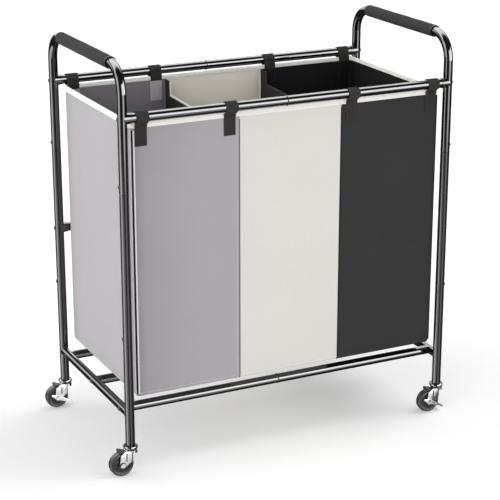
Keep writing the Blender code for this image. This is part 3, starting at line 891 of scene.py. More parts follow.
# The outline of the bearing cups in millimetres, as radius and height over the fork
LOWER_CUP = ((5, 0), (11.6, 0), (12.2, 0.5), (11.4, 1.3))
UPPER_CUP = ((13.4, 1.9), (14.4, 2.8), (14.7, 4.2), (14.7, 6.6), (14.3, 7.5), (13.6, 7.7))
BALL_RACE = ((13.0, 7.2), (12.7, 5.4), (11.0, 4.6), (10.2, 5.4))


def round_axle(radius):
    """A disc's outline round the axle, seen from the side."""
    return disc_points(-TRAIL, WHEEL_R, radius, 0, 345, 23)


def skirt_solid():
    """The hood's front, curled down round the swivel axis."""
    radius = 13.6 * MM
    steps = 24
    rings = []
    for step in range(steps + 1):
        a = math.radians(-62 + 124 * step / steps)
        low = FORK_TOP - 9.5 * MM * (0.55 + 0.45 * math.cos(a) ** 2)
        across = Vector((math.cos(a), math.sin(a), 0))
        profile = mm((-1.6, 0), (-0.3, 0), (0, 0.3), at=(radius, low))
        profile += mm((0, -1.2), (-0.4, -0.3), (-1.3, 0), (-1.6, -0.2), at=(radius, HOOD_TOP))
        rings.append([across * r + Z_AXIS * z for r, z in profile])
    return loft(rings)


def dark_tread_block_solid():
    """A dark block between the fork's legs, close over the tread."""
    under = disc_points(-TRAIL, WHEEL_R, WHEEL_R + 0.9 * MM, 75, 104, 12)
    top = mm((-26.8, 53.0), (-26.0, 55.2)) + mm((-15, -1.8), at=(0, FORK_TOP))
    half = FORK_HALF - 2.0 * MM
    return plate(under + top, -half, half, 0.4 * MM)


def fork_leg_solids(side):
    """A pressed leg, tapering to a round boss at the axle, with its two panels."""
    outer = side * FORK_HALF
    outline = disc_points(-TRAIL, WHEEL_R, 7 * MM, 190, 305, 10)
    outline += mm((-2.0, 30.5), (0.2, 34), (1.2, 47), (4.4, 49.6))
    outline += mm((4.4, 0), (-14, 0), at=(0, HOOD_TOP)) + mm((-25.0, 46.5))
    solids = [plate(outline, outer - side * 1.7 * MM, outer, 0.5 * MM)]
    for left, right, low, top, turn in LEG_PANELS:
        edges = rounded(mm((left, low), (right, low), (right, top), (left, top - 1.5)), 3 * MM)
        panel = plate(edges, outer - side * 0.6 * MM, outer + side * 0.55 * MM, 0.5 * MM)
        hinge = Matrix.Translation(((left + right) / 2 * MM, outer, 0))
        lean = Matrix.Rotation(math.radians(side * -turn), 4, "Z")
        solids.append(moved(panel, hinge @ lean @ hinge.inverted()))
    boss = plate(round_axle(5.4 * MM), outer - side * 0.5 * MM, outer + side * 0.2 * MM, 0.18 * MM)
    return solids + [boss]


def fork_solid():
    """Two pressed legs under a hood that slopes back, with a curled skirt and a raceway."""
    top = (0, FORK_TOP)
    hood = mm((-14, -0.4), (5, -0.4), (5, -2), (-14.5, -2), at=top)
    slope = mm((-13, -0.6), at=top) + mm((-25.2, 46.3), (-24.4, 45)) + mm((-13, -2.2), at=top)
    raceway = mm((12.2, -1.6), (13.0, -0.7), (12.4, 0), at=top)
    half = FORK_HALF - 0.6 * MM
    solids = [skirt_solid(), *fork_leg_solids(-1), *fork_leg_solids(1), plate(hood, -half, half, 0.35 * MM)]
    for side in (-1, 1):
        solids.append(plate(slope, side * (FORK_HALF - 3.4 * MM), side * (FORK_HALF - 0.3 * MM), 0.3 * MM))
    solids.append(turned(raceway))
    return joined(solids)


def fork_shade_solid():
    """Painted shade on each leg: dark strips in the crease between its panels and along its front fold, and
    a dark washer at the axle.
    """
    solids = []
    for side in (-1, 1):
        outer = side * FORK_HALF
        for edges in LEG_SHADE_STRIPS:
            slot = rounded(box_outline(*(edge * MM for edge in edges)), 0.6 * MM)
            solids.append(plate(slot, outer - side * 0.5 * MM, outer + side * 0.2 * MM, 0.1 * MM))
        solids.append(plate(round_axle(6.6 * MM), outer, outer + side * 0.75 * MM, 0.15 * MM))
    return joined(solids)


def stem_solid():
    """Stacked bearing cups over the fork, a ball race between them, and the riveted head below."""
    low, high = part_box("front_left_caster_stem")
    cup_low = FORK_TOP + JOINT_GAP
    plug_low = LEG_BOTTOM_Z - JOINT_GAP
    outline = mm((5, -2), at=(0, FORK_TOP)) + mm(*LOWER_CUP, *UPPER_CUP, *BALL_RACE, at=(0, cup_low))
    outline += mm((10, 0), (8, 0), (8, 18), at=(0, plug_low)) + mm((6.5, 0), at=(0, high.z))
    head = mm((6.2, 0), (7.4, 0.8), (7.4, 2.4), at=(0, low.z)) + mm((5, -2.1), (5, -0.5), at=(0, FORK_TOP))
    return joined([turned(outline), turned(head, 24)])


def tyre_solid():
    """A tread with rounded shoulders, a groove at the rim, and a step down to the hub's disc."""
    step = mm((17.6, 5.6), (18.6, 8.0), (19.4, 8.4), (20.6, 8.5))
    groove = mm((21.2, 8.1), (21.7, 8.3))
    shoulder = mm((23.0, 7.9), (24.2, 6.6), (24.8, 4.6), (25.0, 2.2))
    return turned(mirrored(step + groove + shoulder), 64, closed=True)


def hub_solid():
    """A dished disc with a boss and eight ribs on each face."""
    boss = mm((3.2, 0), (6.4, 0), (7.0, -0.6), at=(0, HUB_HALF))
    dish = mm((7.4, 4.4), (8.4, 3.6), (15.6, 3.6), (16.6, 5.6), (17.8, 5.9))
    solids = [turned(mirrored(boss + dish), 48, closed=True)]
    rib = box_outline(7 * MM, -0.6 * MM, 16.4 * MM, 0.6 * MM)
    upright = Matrix.Rotation(-math.pi / 2, 4, "X")
    for a in circle(8):
        for side in (-1, 1):
            solid = plate(rib, side * 3.2 * MM, side * 5.2 * MM, 0.3 * MM)
            solids.append(moved(solid, Matrix.Rotation(a, 4, "Z") @ upright))
    return joined(solids)


def softened(a):
    """A hexagon's reach where its corners are turned down."""
    return (hexagonal(a) + 1) / 2


def hexagon(radius, low, high):
    """A hexagonal head or nut with a chamfered rim, along Z."""
    edge = 0.35 * MM
    rings = [ring_at(radius * 0.90, low, 24, softened)]
    rings += [ring_at(radius, height, 24, hexagonal) for height in (low + edge, high - edge)]
    rings.append(ring_at(radius * 0.90, high, 24, softened))
    return loft(rings)


def axle_solid(corner):
    """A plain shank between a bolt head and a nut."""
    low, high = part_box(f"{corner}_axle")
    half = (high.y - low.y) / 2
    head = 2.4 * MM
    seat = half - head
    washer = 0.8 * MM
    shank = turned(rod_profile(2.9 * MM, -half - 0.5 * MM, seat + 0.2 * MM, 0.3 * MM), 24)
    bolt_head = hexagon(5.4 * MM, seat + washer, half + 0.2 * MM)
    nut = hexagon(5.4 * MM, -half + 0.1 * MM, -half + head - washer)
    return joined([shank, bolt_head, nut])


def lever_solid():
    """A pressed brake lever straddling the fork: two arms, a heel over the tread and a ribbed pedal."""
    half = FORK_HALF + 1.75 * MM
    sheet = 1.4 * MM
    arm = disc_points(0, 0, 6.2 * MM, 55, 125, 6) + mm((-14, 2.6), (-17, 1.6), (-17.3, -1.4))
    arm += disc_points(0, 0, 6.2 * MM, 235, 305, 6) + mm((27, -2.0), (35, -1.8), (35, 1.6), (27, 2.0))
    top = mm((26.5, 1.6), (33, 1.4), (36, -0.6))
    lip = mm((35.8, -2.6), (34.4, -2.6), (34.2, -1.0))
    pedal = top + lip + mm((32.4, -0.1), (26.5, 0.1))
    solids = [plate(arm, side * (half - sheet), side * half, 0.4 * MM) for side in (-1, 1)]
    solids.append(plate(pedal, -half + 0.2 * MM, half - 0.2 * MM, 0.35 * MM))
    for k in range(3):
        x = 28.2 * MM + k * 1.9 * MM
        rib = rounded(box_outline(x, 1.2 * MM, x + 0.9 * MM, 2.1 * MM), 0.4 * MM, 2)
        solids.append(plate(rib, -half + 2 * MM, half - 2 * MM, 0.2 * MM))
    return joined(solids)


def build_caster(corner):
    post = POSTS[corner]
    upright = Matrix.Translation((post.x, post.y, 0))
    axle = Matrix.Translation((post.x - TRAIL, post.y, WHEEL_R))
    on_axle = axle @ Matrix.Rotation(-math.pi / 2, 4, "X")
    caster, wheel, brake = f"{corner}_caster", f"{corner}_wheel", f"{corner}_brake"
    pieces = [
        # The swivel cup's zinc is darkened: painted shade.
        ("swivel_cup", stem_solid(), upright, "cup", "root", "zinc", ["caster_stem"]),
        ("pressed_fork", fork_solid(), upright, "zinc", caster, "zinc", ["fork"]),
        ("axle_bolt", axle_solid(corner), on_axle, "zinc", caster, "zinc", ["axle"]),
        # Dark strips of painted shade in the fork's creases and at the axle's head
        ("fork_painted_shade", fork_shade_solid(), upright, "hub", caster, "zinc", []),
        ("dark_tread_block", dark_tread_block_solid(), upright, "dark_block", caster, "tyre", []),
        ("tyre", tyre_solid(), on_axle, "tyre", wheel, "tyre", ["wheel"]),
        ("hub", hub_solid(), on_axle, "hub", wheel, "tyre", []),
    ]
    if corner in BRAKED:
        lever_place = axle @ Matrix.Rotation(LEVER_SLANT, 4, "Y")
        pieces.append(("brake_pedal", lever_solid(), lever_place, "zinc", brake, "zinc", ["brake_lever"]))
    for name, solid, place, look, body, slot, replaced in pieces:
        nodes = [f"{corner}_{node}" for node in replaced]
        add_part(f"{corner}_{name}", moved(solid, place), look, nodes, body=body)


# ---- bag ----

SEAM_CLEAR = 0.15 * MM
WALL_STEP = 9 * MM
# Where the cloth needs stations: from a seam, in its groove, across the hem and at the hem's step; and from
# a corner of the bag. Past the last mark, the same in both, the steps are even.
SEAM_MARKS = [d * MM for d in (0.0, 0.5, 1.0, 1.6, 2.6, 4.6, 6.4, 7.0, 7.7, 12)]
BEND_MARKS = [d * MM for d in (0.0, 2, 5, 12)]
MARKED = SEAM_MARKS[-1]
NO_SEAM = 1.0  # stands for the distance from a seam where there is none near
HEM_TOP_Z = BAG_BOTTOM_Z + 8 * MM + BAG_BOTTOM_R * 0.2
# How far the cloth stands out at a hem, its groove at a seam, its belly and its ripples
HEM_RISE = 0.45 * MM
BOTTOM_HEM_RISE = 0.35 * MM
GROOVE = 1.9 * MM
BELLY = 1.1 * MM
RIPPLE = 0.9 * MM
FLOOR_LAP = 1 * MM
FLOOR_GAP = 0.2 * MM
# Each section, from x to x
SPANS = {
    "grey": (BAG_LEFT_X, LEFT_SEAM_X),
    "cream": (LEFT_SEAM_X, RIGHT_SEAM_X),
    "black": (RIGHT_SEAM_X, BAG_RIGHT_X),
}
# Each section's floor, from x to x: up to the seams, and into the rounded edge at the bag's ends
FLOORS = {
    "grey": (BAG_LEFT_X + BAG_BOTTOM_R - FLOOR_LAP, LEFT_SEAM_X - FLOOR_GAP),
    "cream": (LEFT_SEAM_X + FLOOR_GAP, RIGHT_SEAM_X - FLOOR_GAP),
    "black": (RIGHT_SEAM_X + FLOOR_GAP, BAG_RIGHT_X - BAG_BOTTOM_R + FLOOR_LAP),
}


def smooth(t):
    t = min(max(t, 0.0), 1.0)
    return t * t * (3 - 2 * t)


def spaced(start, end, step):
    count = max(1, round(abs(end - start) / step))
    return [start + (end - start) * k / count for k in range(count + 1)]


def upright_line(x, y, heights):
    return [Vector((x, y, z)) for z in heights]


def straight_stations(start, end, out, seam_first=False, seam_last=False):
    """Stations of a straight wall: place, outward, distance from a seam, share of the wall, its length."""
    start = Vector((*start, 0))
    end = Vector((*end, 0))
    length = (end - start).length
    marks = list(SEAM_MARKS if seam_first else BEND_MARKS)
    marks += spaced(MARKED, length - MARKED, WALL_STEP)[1:-1]
    marks += [length - mark for mark in reversed(SEAM_MARKS if seam_last else BEND_MARKS)]
    stations = []
    for mark in marks:
        from_first = mark if seam_first else NO_SEAM
        from_last = length - mark if seam_last else NO_SEAM
        place = start + (end - start) * (mark / length)
        stations.append((place, Vector((*out, 0)), min(from_first, from_last), mark / length, length))
    return stations


def corner_stations(x, y, start, end):
    """Stations round a corner of the bag, between those of its two walls."""
    stations = []
    for k in range(1, 6):
        a = math.radians(start + (end - start) * k / 6)
        out = Vector((math.cos(a), math.sin(a), 0))
        stations.append((Vector((x, y, 0)) + BAG_CORNER_R * out, out, NO_SEAM, 0.0, 0.0))
    return stations


def end_walls(seam_x, end_x, side):
    """The walls of a section at one end of the bag, from its front seam round the end to its back seam."""
    bend_x = end_x - side * BAG_CORNER_R
    front_y = BAG_FRONT_Y + BAG_CORNER_R
    back_y = BAG_BACK_Y - BAG_CORNER_R
    return [
        *straight_stations((seam_x, BAG_FRONT_Y), (bend_x, BAG_FRONT_Y), (0, -1), seam_first=True),
        *corner_stations(bend_x, front_y, 270, 270 + 90 * side),
        *straight_stations((end_x, front_y), (end_x, back_y), (side, 0)),
        *corner_stations(bend_x, back_y, 90 - 90 * side, 90),
        *straight_stations((bend_x, BAG_BACK_Y), (seam_x, BAG_BACK_Y), (0, 1), seam_last=True),
    ]


def section_walls(section):
    """The stations of each wall of a section that is one piece of cloth."""
    if section == "grey":
        return [end_walls(LEFT_SEAM_X - SEAM_CLEAR, BAG_LEFT_X, -1)]
    if section == "black":
        return [end_walls(RIGHT_SEAM_X + SEAM_CLEAR, BAG_RIGHT_X, 1)]
    left = LEFT_SEAM_X + SEAM_CLEAR
    right = RIGHT_SEAM_X - SEAM_CLEAR
    front = straight_stations((left, BAG_FRONT_Y), (right, BAG_FRONT_Y), (0, -1), True, True)
    back = straight_stations((right, BAG_BACK_Y), (left, BAG_BACK_Y), (0, 1), True, True)
    return [front, back]


def wall_levels():
    """Heights from the rim down, then round the bottom edge, as (inset, z)."""
    heights = spaced(BAG_TOP_Z, BAG_TOP_Z - 60 * MM, 7 * MM)
    heights += spaced(BAG_TOP_Z - 60 * MM, HEM_TOP_Z + 14 * MM, 11 * MM)[1:]
    heights += [HEM_TOP_Z + 5 * MM, HEM_TOP_Z + 0.8 * MM, HEM_TOP_Z]
    levels = [(0.0, z) for z in heights]
    for k in range(7):
        a = math.pi / 2 * k / 6
        levels.append((BAG_BOTTOM_R * (1 - math.cos(a)), BAG_BOTTOM_Z + BAG_BOTTOM_R * (1 - math.sin(a))))
    return levels


def wall_relief(station, z):
    """How far the cloth stands out of its plan line: hems, the groove at the seam, belly and ripples."""
    place, out, from_seam, share, length = station
    relief = 0.0
    if from_seam < NO_SEAM:
        relief += HEM_RISE * (1 - smooth((from_seam - HEM + 0.7 * MM) / (0.8 * MM)))
        relief -= GROOVE * max(0.0, 1 - from_seam / GROOVE) ** 1.6
        relief *= smooth((BINDING_LOW.z - z) / (4 * MM))
    height = (z - BAG_BOTTOM_Z) / (BAG_TOP_Z - BAG_BOTTOM_Z)
    fade = smooth((1 - height) / 0.12) * smooth(height / 0.05)
    if length > 0:
        belly = math.sin(math.pi * share) * math.sin(math.pi * height)
        outward = -1.0 if out.y > 0.5 else 1.0
        relief += outward * BELLY * belly * fade
        edge = smooth(min(share, 1 - share) * length / (30 * MM))
        where = Vector((place.x * 6 + place.y * 5, place.y * 4, z * 3.2))
        relief += RIPPLE * noise.noise(where) * fade * edge * (0.4 if out.y > 0.5 else 1.0)
    if z < BAG_BOTTOM_Z + 10 * MM:
        relief += BOTTOM_HEM_RISE
    return relief


def thick_sheet(grid, thickness):
    """A closed cloth of even thickness from a grid of (point, outward normal)."""
    rows = len(grid)
    columns = len(grid[0])
    outer = [point for row in grid for point, _ in row]
    inner = [point - normal * thickness for row in grid for point, normal in row]
    total = len(outer)
    faces = []
    for i in range(rows - 1):
        for j in range(columns - 1):
            a, b = i * columns + j, i * columns + j + 1
            c, d = b + columns, a + columns
            faces.append((a, b, c, d))
            faces.append((total + a, total + d, total + c, total + b))
    border = list(range(columns))
    border += [i * columns + columns - 1 for i in range(1, rows)]
    border += [(rows - 1) * columns + j for j in range(columns - 2, -1, -1)]
    border += [i * columns for i in range(rows - 2, 0, -1)]
    for a, b in zip(border, border[1:] + border[:1]):
        faces.append((a, total + a, total + b, b))
    return outer + inner, faces


def wall_sheet(stations):
    """The walls' cloth, curving in under the bag at its bottom edge."""
    levels = wall_levels()
    grid = []
    for station in stations:
        place, out = station[:2]
        row = []
        for inset, z in levels:
            point = Vector((place.x, place.y, z)) + out * (wall_relief(station, z) - inset)
            turn = inset / BAG_BOTTOM_R
            normal = (out * (1 - turn) - Z_AXIS * turn).normalized() if turn else out
            row.append((point, normal))
        grid.append(row)
    return thick_sheet(grid, FABRIC)


def floor_sheet(low_x, high_x):
    """The bag's floor, a little rippled, just inside the rounded bottom edge."""
    low_y = BAG_FRONT_Y + BAG_BOTTOM_R - FLOOR_LAP
    high_y = BAG_BACK_Y - BAG_BOTTOM_R + FLOOR_LAP
    grid = []
    for x in spaced(low_x, high_x, 12 * MM):
        row = []
        for y in spaced(low_y, high_y, 12 * MM):
            ripple = 0.25 * MM * noise.noise(Vector((x * 14, y * 14, 3.0)))
            row.append((Vector((x, y, BAG_BOTTOM_Z + 0.2 * MM + max(ripple, -0.1 * MM))), -Z_AXIS))
        grid.append(row)
    return thick_sheet(grid, FABRIC * 0.8)


def outward_near(stations, point):
    """The outward direction at the station nearest to a point."""
    return min(stations, key=lambda s: (s[0].x - point.x) ** 2 + (s[0].y - point.y) ** 2)[1]


def seam_stitches(stations):
    """A row of stitches down the hem at each free end of the walls."""
    rows = []
    heights = spaced(BAG_BOTTOM_Z + 12 * MM, BAG_TOP_Z - 16 * MM, 40 * MM)
    for first, second in ((0, 1), (-1, -2)):
        place, out = stations[first][:2]
        inward = (stations[second][0] - place).normalized()
        foot = place + inward * (HEM - 1.6 * MM) + out * 0.55 * MM
        line = upright_line(foot.x, foot.y, heights)
        rows.append(stitch_row(line, lambda point, out=out: out, WALL_STITCH))
    return joined(rows)


def hem_stitches(stations):
    """A row of stitches along the hem at the bag's bottom."""
    z = BAG_BOTTOM_Z + 8.6 * MM
    path = [Vector((s[0].x, s[0].y, z)) + s[1] * (wall_relief(s, z) + 0.1 * MM) for s in stations]
    return stitch_row(path, lambda point: outward_near(stations, point), WALL_STITCH)


def paint_inner_sides(cloth, section, low_x, high_x):
    """Gives the faces that look into the section its inner side's colour: painted light in the cream
    section, painted shade in the grey and black ones.
    """
    cloth.data.materials.append(LOOKS[f"{section}_lining"])
    centre = Vector(((low_x + high_x) / 2, 0, (BAG_BOTTOM_Z + BAG_TOP_Z) / 2))
    for face in cloth.data.polygons:
        if face.normal.dot(centre - face.center) > 0:
            face.material_index = 1


def add_section(section):
    """Adds a section, and gives its cloth, the list of what goes with it, its flat size and its area."""
    walls = section_walls(section)
    solids = [wall_sheet(stations) for stations in walls]
    solids.append(floor_sheet(*FLOORS[section]))
    node = f"{section}_bag_section"
    cloth = add_part(f"{section}_bag", joined(solids), section, [node], 50)
    paint_inner_sides(cloth, section, *FLOORS[section])
    rows = []
    for stations in walls:
        rows += [seam_stitches(stations), hem_stitches(stations)]
    extras = []
    add_trim(extras, f"{section}_bag_stitches", joined(rows), f"{section}_thread")
    height = BAG_TOP_Z - BAG_BOTTOM_Z
    depth = BAG_BACK_Y - BAG_FRONT_Y
    wide = FLOORS[section][1] - FLOORS[section][0]
    around = sum((b[0] - a[0]).length for stations in walls for a, b in zip(stations, stations[1:]))
    flat = (wide, 2 * height + depth) if section == "cream" else (around, height + depth)
    return cloth, extras, flat, min(around * height + wide * depth, flat[0] * flat[1])


def add_trim(extras, name, solid, look):
    """A piece that goes with a section's cloth, and is listed with it."""
    extras.append(add_part(name, solid, look))


def corner_seam(corner_x, side):
    """The bag's corner seam: a dark cord pinched between the rolled hems of the two panels."""
    inner = BAG_CORNER_R * (1 - math.cos(math.pi / 4))
    out = Vector((side, -1, 0)).normalized()
    across = Vector((-side, -1, 0)).normalized()
    base = Vector((corner_x - side * inner, BAG_FRONT_Y + inner, 0))
    heights = spaced(BAG_BOTTOM_Z + 8 * MM, BAG_TOP_Z - 13 * MM, 30 * MM)
    cord = cord_solid([base + out * 1.0 * MM + Z_AXIS * z for z in heights], 1.8 * MM, 12)
    rolls = []
    for turn in (-1, 1):
        centre = base + across * (turn * 3.1 * MM) + out * (0.05 * MM)
        rolls.append(cord_solid([centre + Z_AXIS * z for z in heights], 1.5 * MM, 12))
    return cord, joined(rolls)


def seam_cords(x, radius):
    """The piping caught in a seam between two sections, down the front and the back."""
    heights = spaced(BAG_BOTTOM_Z + 5 * MM, BAG_TOP_Z - 14 * MM, 30 * MM)
    lines = [upright_line(x, y, heights) for y in (BAG_FRONT_Y + 0.35 * MM, BAG_BACK_Y - 0.35 * MM)]
    return joined([cord_solid(line, radius, 12) for line in lines])


def rim_stations():
    """The rim's plan line all the way round, as (place, outward direction)."""
    left_x = BAG_LEFT_X + BAG_CORNER_R
    right_x = BAG_RIGHT_X - BAG_CORNER_R
    front_y = BAG_FRONT_Y + BAG_CORNER_R
    back_y = BAG_BACK_Y - BAG_CORNER_R
    corners = ((right_x, front_y, 270), (right_x, back_y, 0), (left_x, back_y, 90), (left_x, front_y, 180))
    stations = []
    for index, (x, y, start) in enumerate(corners):
        for k in range(7):
            a = math.radians(start + 90 * k / 6)
            out = Vector((math.cos(a), math.sin(a), 0))
            stations.append((Vector((x, y, 0)) + BAG_CORNER_R * out, out))
        next_x, next_y, _ = corners[(index + 1) % 4]
        begun, out = stations[-1]
        end = Vector((next_x, next_y, 0)) + BAG_CORNER_R * out
        count = round((end - begun).length / (12 * MM))
        stations += [(begun + (end - begun) * (k / count), out) for k in range(1, count)]
    return stations


def add_binding():
    """Tape folded over the bag's top edge, its fold rounded and its edges turned in."""
    skin = 0.75 * MM
    clear = 0.25 * MM
    inner_side = -FABRIC - clear
    outer = clear + skin
    inner = inner_side - skin
    mid = (outer + inner) / 2
    half = (outer - inner) / 2
    slot = half - skin
    shoulder = BINDING_TOP - half
    over = (0.4, 0.8, 1.2, 1.57, 1.94, 2.34, 2.74)
    under = (2.6, 2.0, 1.57, 1.14, 0.54)
    profile = [
        *mm((-0.1, 0), (0.15, 1.0), (0, 2.2), at=(outer, BINDING_OUTER_Z)),
        (outer, shoulder),
        *[(mid + half * math.cos(a), shoulder + half * math.sin(a)) for a in over],
        (inner, shoulder),
        *mm((0, 2.2), (-0.15, 1.0), (0.1, 0), at=(inner, BINDING_INNER_Z)),
        *mm((0, 0.1), at=(inner_side, BINDING_INNER_Z)),
        (inner_side, shoulder),
        *[(mid + slot * math.cos(a), shoulder + slot * math.sin(a)) for a in under],
        (clear, shoulder),
        *mm((0, 0.1), at=(clear, BINDING_OUTER_Z)),
    ]
    stations = rim_stations()
    rings = []
    for place, out in stations:
        wave = 0.35 * MM * noise.noise(Vector((place.x * 22, place.y * 22, 8.0)))
        rings.append([place + out * (offset + wave * 0.3) + Z_AXIS * (z + wave) for offset, z in profile])
    tape = loft(rings, closed=True)
    binding = add_part("rim_binding_tape", tape, "tape", ["rim_binding"], 60)
    rows = []
    for offset, edge_z, flip in (
        (outer + 0.05 * MM, BINDING_OUTER_Z, 1),
        (inner - 0.05 * MM, BINDING_INNER_Z, -1),
    ):
        path = [place + out * offset + Z_AXIS * (edge_z + 2.4 * MM) for place, out in stations]

        def normal_of(point, flip=flip):
            return outward_near(stations, point) * flip

        rows.append(stitch_row(path + path[:1], normal_of, BINDING_STITCH))
    thread = add_part("rim_binding_stitches", joined(rows), "cream_thread")


DIVIDER_TAB = 26 * MM
DIVIDER_TOP_Z = BINDING_INNER_Z - 0.4 * MM
DIVIDER_DIP_Z = 678 * MM


def divider_edge(x, low_y, high_y, dipped):
    """The line of a divider's cut edge: down the first tab, along the dip and up the second tab."""
    foot_z = DIVIDER_DIP_Z + 0.6 * MM
    climb = spaced(DIVIDER_TOP_Z - 0.5 * MM, DIVIDER_DIP_Z + 2.5 * MM, 8 * MM)
    inset = Vector((0, 2 * MM, 0))
    return [
        *upright_line(x, low_y, climb),
        Vector((x, low_y + 0.8 * MM, foot_z)),
        dipped[0] + inset,
        *dipped[1:-1],
        dipped[-1] - inset,
        Vector((x, high_y - 0.8 * MM, foot_z)),
        *upright_line(x, high_y, reversed(climb)),
    ]


def add_divider(side, x):
    """A black panel across the bag, cut down between two tabs, with its cut edge bound in tape."""
    low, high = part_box(f"{side}_divider")
    cut_low = low.y + DIVIDER_TAB
    cut_high = high.y - DIVIDER_TAB
    heights = 26
    ys = [low.y] + spaced(low.y, cut_low, 6 * MM)[1:]
    ys += spaced(cut_low + 0.6 * MM, cut_high - 0.6 * MM, 10 * MM)
    ys += spaced(cut_high, high.y, 6 * MM)
    grid = []
    dipped = []
    for y in ys:
        cut = cut_low + 0.3 * MM < y < cut_high - 0.3 * MM
        share = (y - low.y - DIVIDER_TAB) / (high.y - low.y - 2 * DIVIDER_TAB)
        top = DIVIDER_DIP_Z - 4 * MM * math.sin(math.pi * share) if cut else DIVIDER_TOP_Z
        row = []
        for k in range(heights + 1):
            z = low.z + (top - low.z) * k / heights
            lean = 2.2 * MM * noise.noise(Vector((x * 9, y * 9, z * 5)))
            lean *= smooth((z - low.z) / 0.1) * smooth((DIVIDER_TOP_Z - z) / 0.03)
            lean *= smooth((y - low.y) / (20 * MM)) * smooth((high.y - y) / (20 * MM))
            row.append((Vector((x + lean + FABRIC / 2, y, z)), X_AXIS))
        grid.append(row)
        if cut:
            dipped.append(row[-1][0] - X_AXIS * (FABRIC / 2))
    node = f"{side}_divider"
    panel = add_part(f"{node}_panel", thick_sheet(grid, FABRIC), "black", [node])
    line = divider_edge(x, cut_low, cut_high, dipped)
    rings = []
    for point, tangent in zip(line, tangents(line)):
        across = X_AXIS * (1.35 * MM)
        into = X_AXIS.cross(tangent).normalized() * (2.4 * MM)
        rings.append([point + across * math.cos(a) + into * math.sin(a) for a in circle(12)])
    look = "tape" if side == "left" else "dark_tape"
    edge = add_part(f"{node}_binding", loft(rings), look)


def add_board(section):
    """The stiff base board in its cloth sleeve, with a soft edge and a groove round its top."""
    low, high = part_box(f"{section}_base_board")
    edge = (high.z - low.z) / 2
    levels = (
        (edge, low.z),
        (edge * 0.3, low.z + edge * 0.4),
        (0, low.z + edge),
        (edge * 0.3, high.z - edge * 0.4),
        (edge, high.z),
        (7 * MM, high.z),
        (8 * MM, high.z - 0.3 * MM),
        (9 * MM, high.z),
    )
    rings = []
    for inset, z in levels:
        outline = box_outline(low.x + inset, low.y + inset, high.x - inset, high.y - inset)
        rings.append([Vector((x, y, z)) for x, y in rounded(outline, 6 * MM, 6)])
    node = f"{section}_base_board"
    add_part(f"{section}_board_sleeve", loft(rings), section, [node], 50)


STRAP_THICK = 1.25 * MM
STRAP_NUMBERS = (1, 2, 3, 4)
# Outward along Y, and the y of the top rail and of the bag's face
STRAP_SIDES = {"front": (-1, FRONT_Y, BAG_FRONT_Y), "back": (1, BACK_Y, BAG_BACK_Y)}


def ribbon(path, x0, x1):
    """Webbing along a line in a YZ plane, its long edges rounded over."""
    upper = [
        (x0, 0.0),
        (x0 + 0.25 * MM, 0.75),
        (x0 + 0.9 * MM, 1.0),
        ((x0 + x1) / 2, 0.94),
        (x1 - 0.9 * MM, 1.0),
        (x1 - 0.25 * MM, 0.75),
        (x1, 0.0),
    ]
    profile = upper + [(x, -share) for x, share in reversed(upper[1:-1])]
    half = STRAP_THICK / 2
    rings = []
    for point, tangent in zip(path, tangents(path)):
        normal = X_AXIS.cross(tangent).normalized()
        rings.append([Vector((x, point.y, point.z)) + normal * (half * share) for x, share in profile])
    return loft(rings)


def strap_loop_path(outward, rail_y, bag_y, face_y):
    """From inside the rim, over the top rail and round it, and down the outside to the crease."""
    inside_y = bag_y - outward * (FABRIC + BINDING_REACH + 0.4 * MM + STRAP_THICK / 2)
    path = upright_line(0, inside_y, (BINDING_INNER_Z - 1.5 * MM, BINDING_INNER_Z + 3 * MM, BINDING_TOP))
    for k in range(27):
        a = math.radians(-12 + (240 + 12) * k / 26)
        squash = 1 + 0.035 * math.cos(2 * (a - 0.6)) + 0.02 * math.cos(5 * a)
        radius = (TUBE_R + 0.45 * MM + STRAP_THICK / 2) * squash
        path.append(Vector((0, rail_y - outward * radius * math.cos(a), TOP_RAIL_Z + radius * math.sin(a))))
    return path + upright_line(0, face_y, (TOP_RAIL_Z - 15 * MM, BINDING_OUTER_Z + 1.0 * MM))


def add_strap(side, number):
    """Hook-and-loop webbing: fuzzy where it closes round the rail, smooth where its tail hangs down."""
    name = f"{side}_strap_{number}"
    low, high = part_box(name)
    outward, rail_y, bag_y = STRAP_SIDES[side]
    x0, x1 = low.x, high.x
    crease_z = BINDING_OUTER_Z
    face_y = bag_y + outward * (0.9 * MM + BINDING_REACH + STRAP_THICK / 2)
    tail_y = bag_y + outward * (0.5 * MM + STRAP_THICK / 2)
    path = strap_loop_path(outward, rail_y, bag_y, face_y)
    tail = [
        Vector((0, face_y - outward * 0.1 * MM, crease_z + 4 * MM)),
        Vector((0, face_y, crease_z + 0.4 * MM)),
        *upright_line(0, tail_y, (crease_z - 2.2 * MM, crease_z - 12 * MM, low.z + 0.3 * MM)),
    ]
    loop_solid = ribbon(path, x0 - 0.5 * MM, x1 + 0.5 * MM)
    loop_piece = add_part(f"{name}_loop", loop_solid, "pile", [name], 50)
    tail_piece = add_part(f"{name}_tail", ribbon(tail, x0, x1), "strap", sharp=50)
    left, right = x0 + 2 * MM, x1 - 2 * MM
    top_z, bottom_z = crease_z - 4 * MM, low.z + 2.6 * MM
    stitch_y = tail_y + outward * (STRAP_THICK / 2 + 0.05 * MM)
    corners = ((left, top_z), (left, bottom_z), (right, bottom_z), (right, top_z), (left, top_z))
    seam = [Vector((x, stitch_y, z)) for x, z in corners]
    stitches = stitch_row(seam, lambda point: (0, outward, 0), STRAP_STITCH)
    thread = add_part(f"{name}_stitches", stitches, "black_thread")


def patch_places(span):
    """Where the patches behind the straps lie within a span along X: middle, y, and outward along Y."""
    places = []
    for side, (outward, _, bag_y) in STRAP_SIDES.items():
        for number in STRAP_NUMBERS:
            low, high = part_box(f"{side}_strap_{number}")
            x = (low.x + high.x) / 2
            if span[0] < x < span[1]:
                places.append((x, bag_y - outward * (FABRIC + 0.35 * MM), outward))
    return places


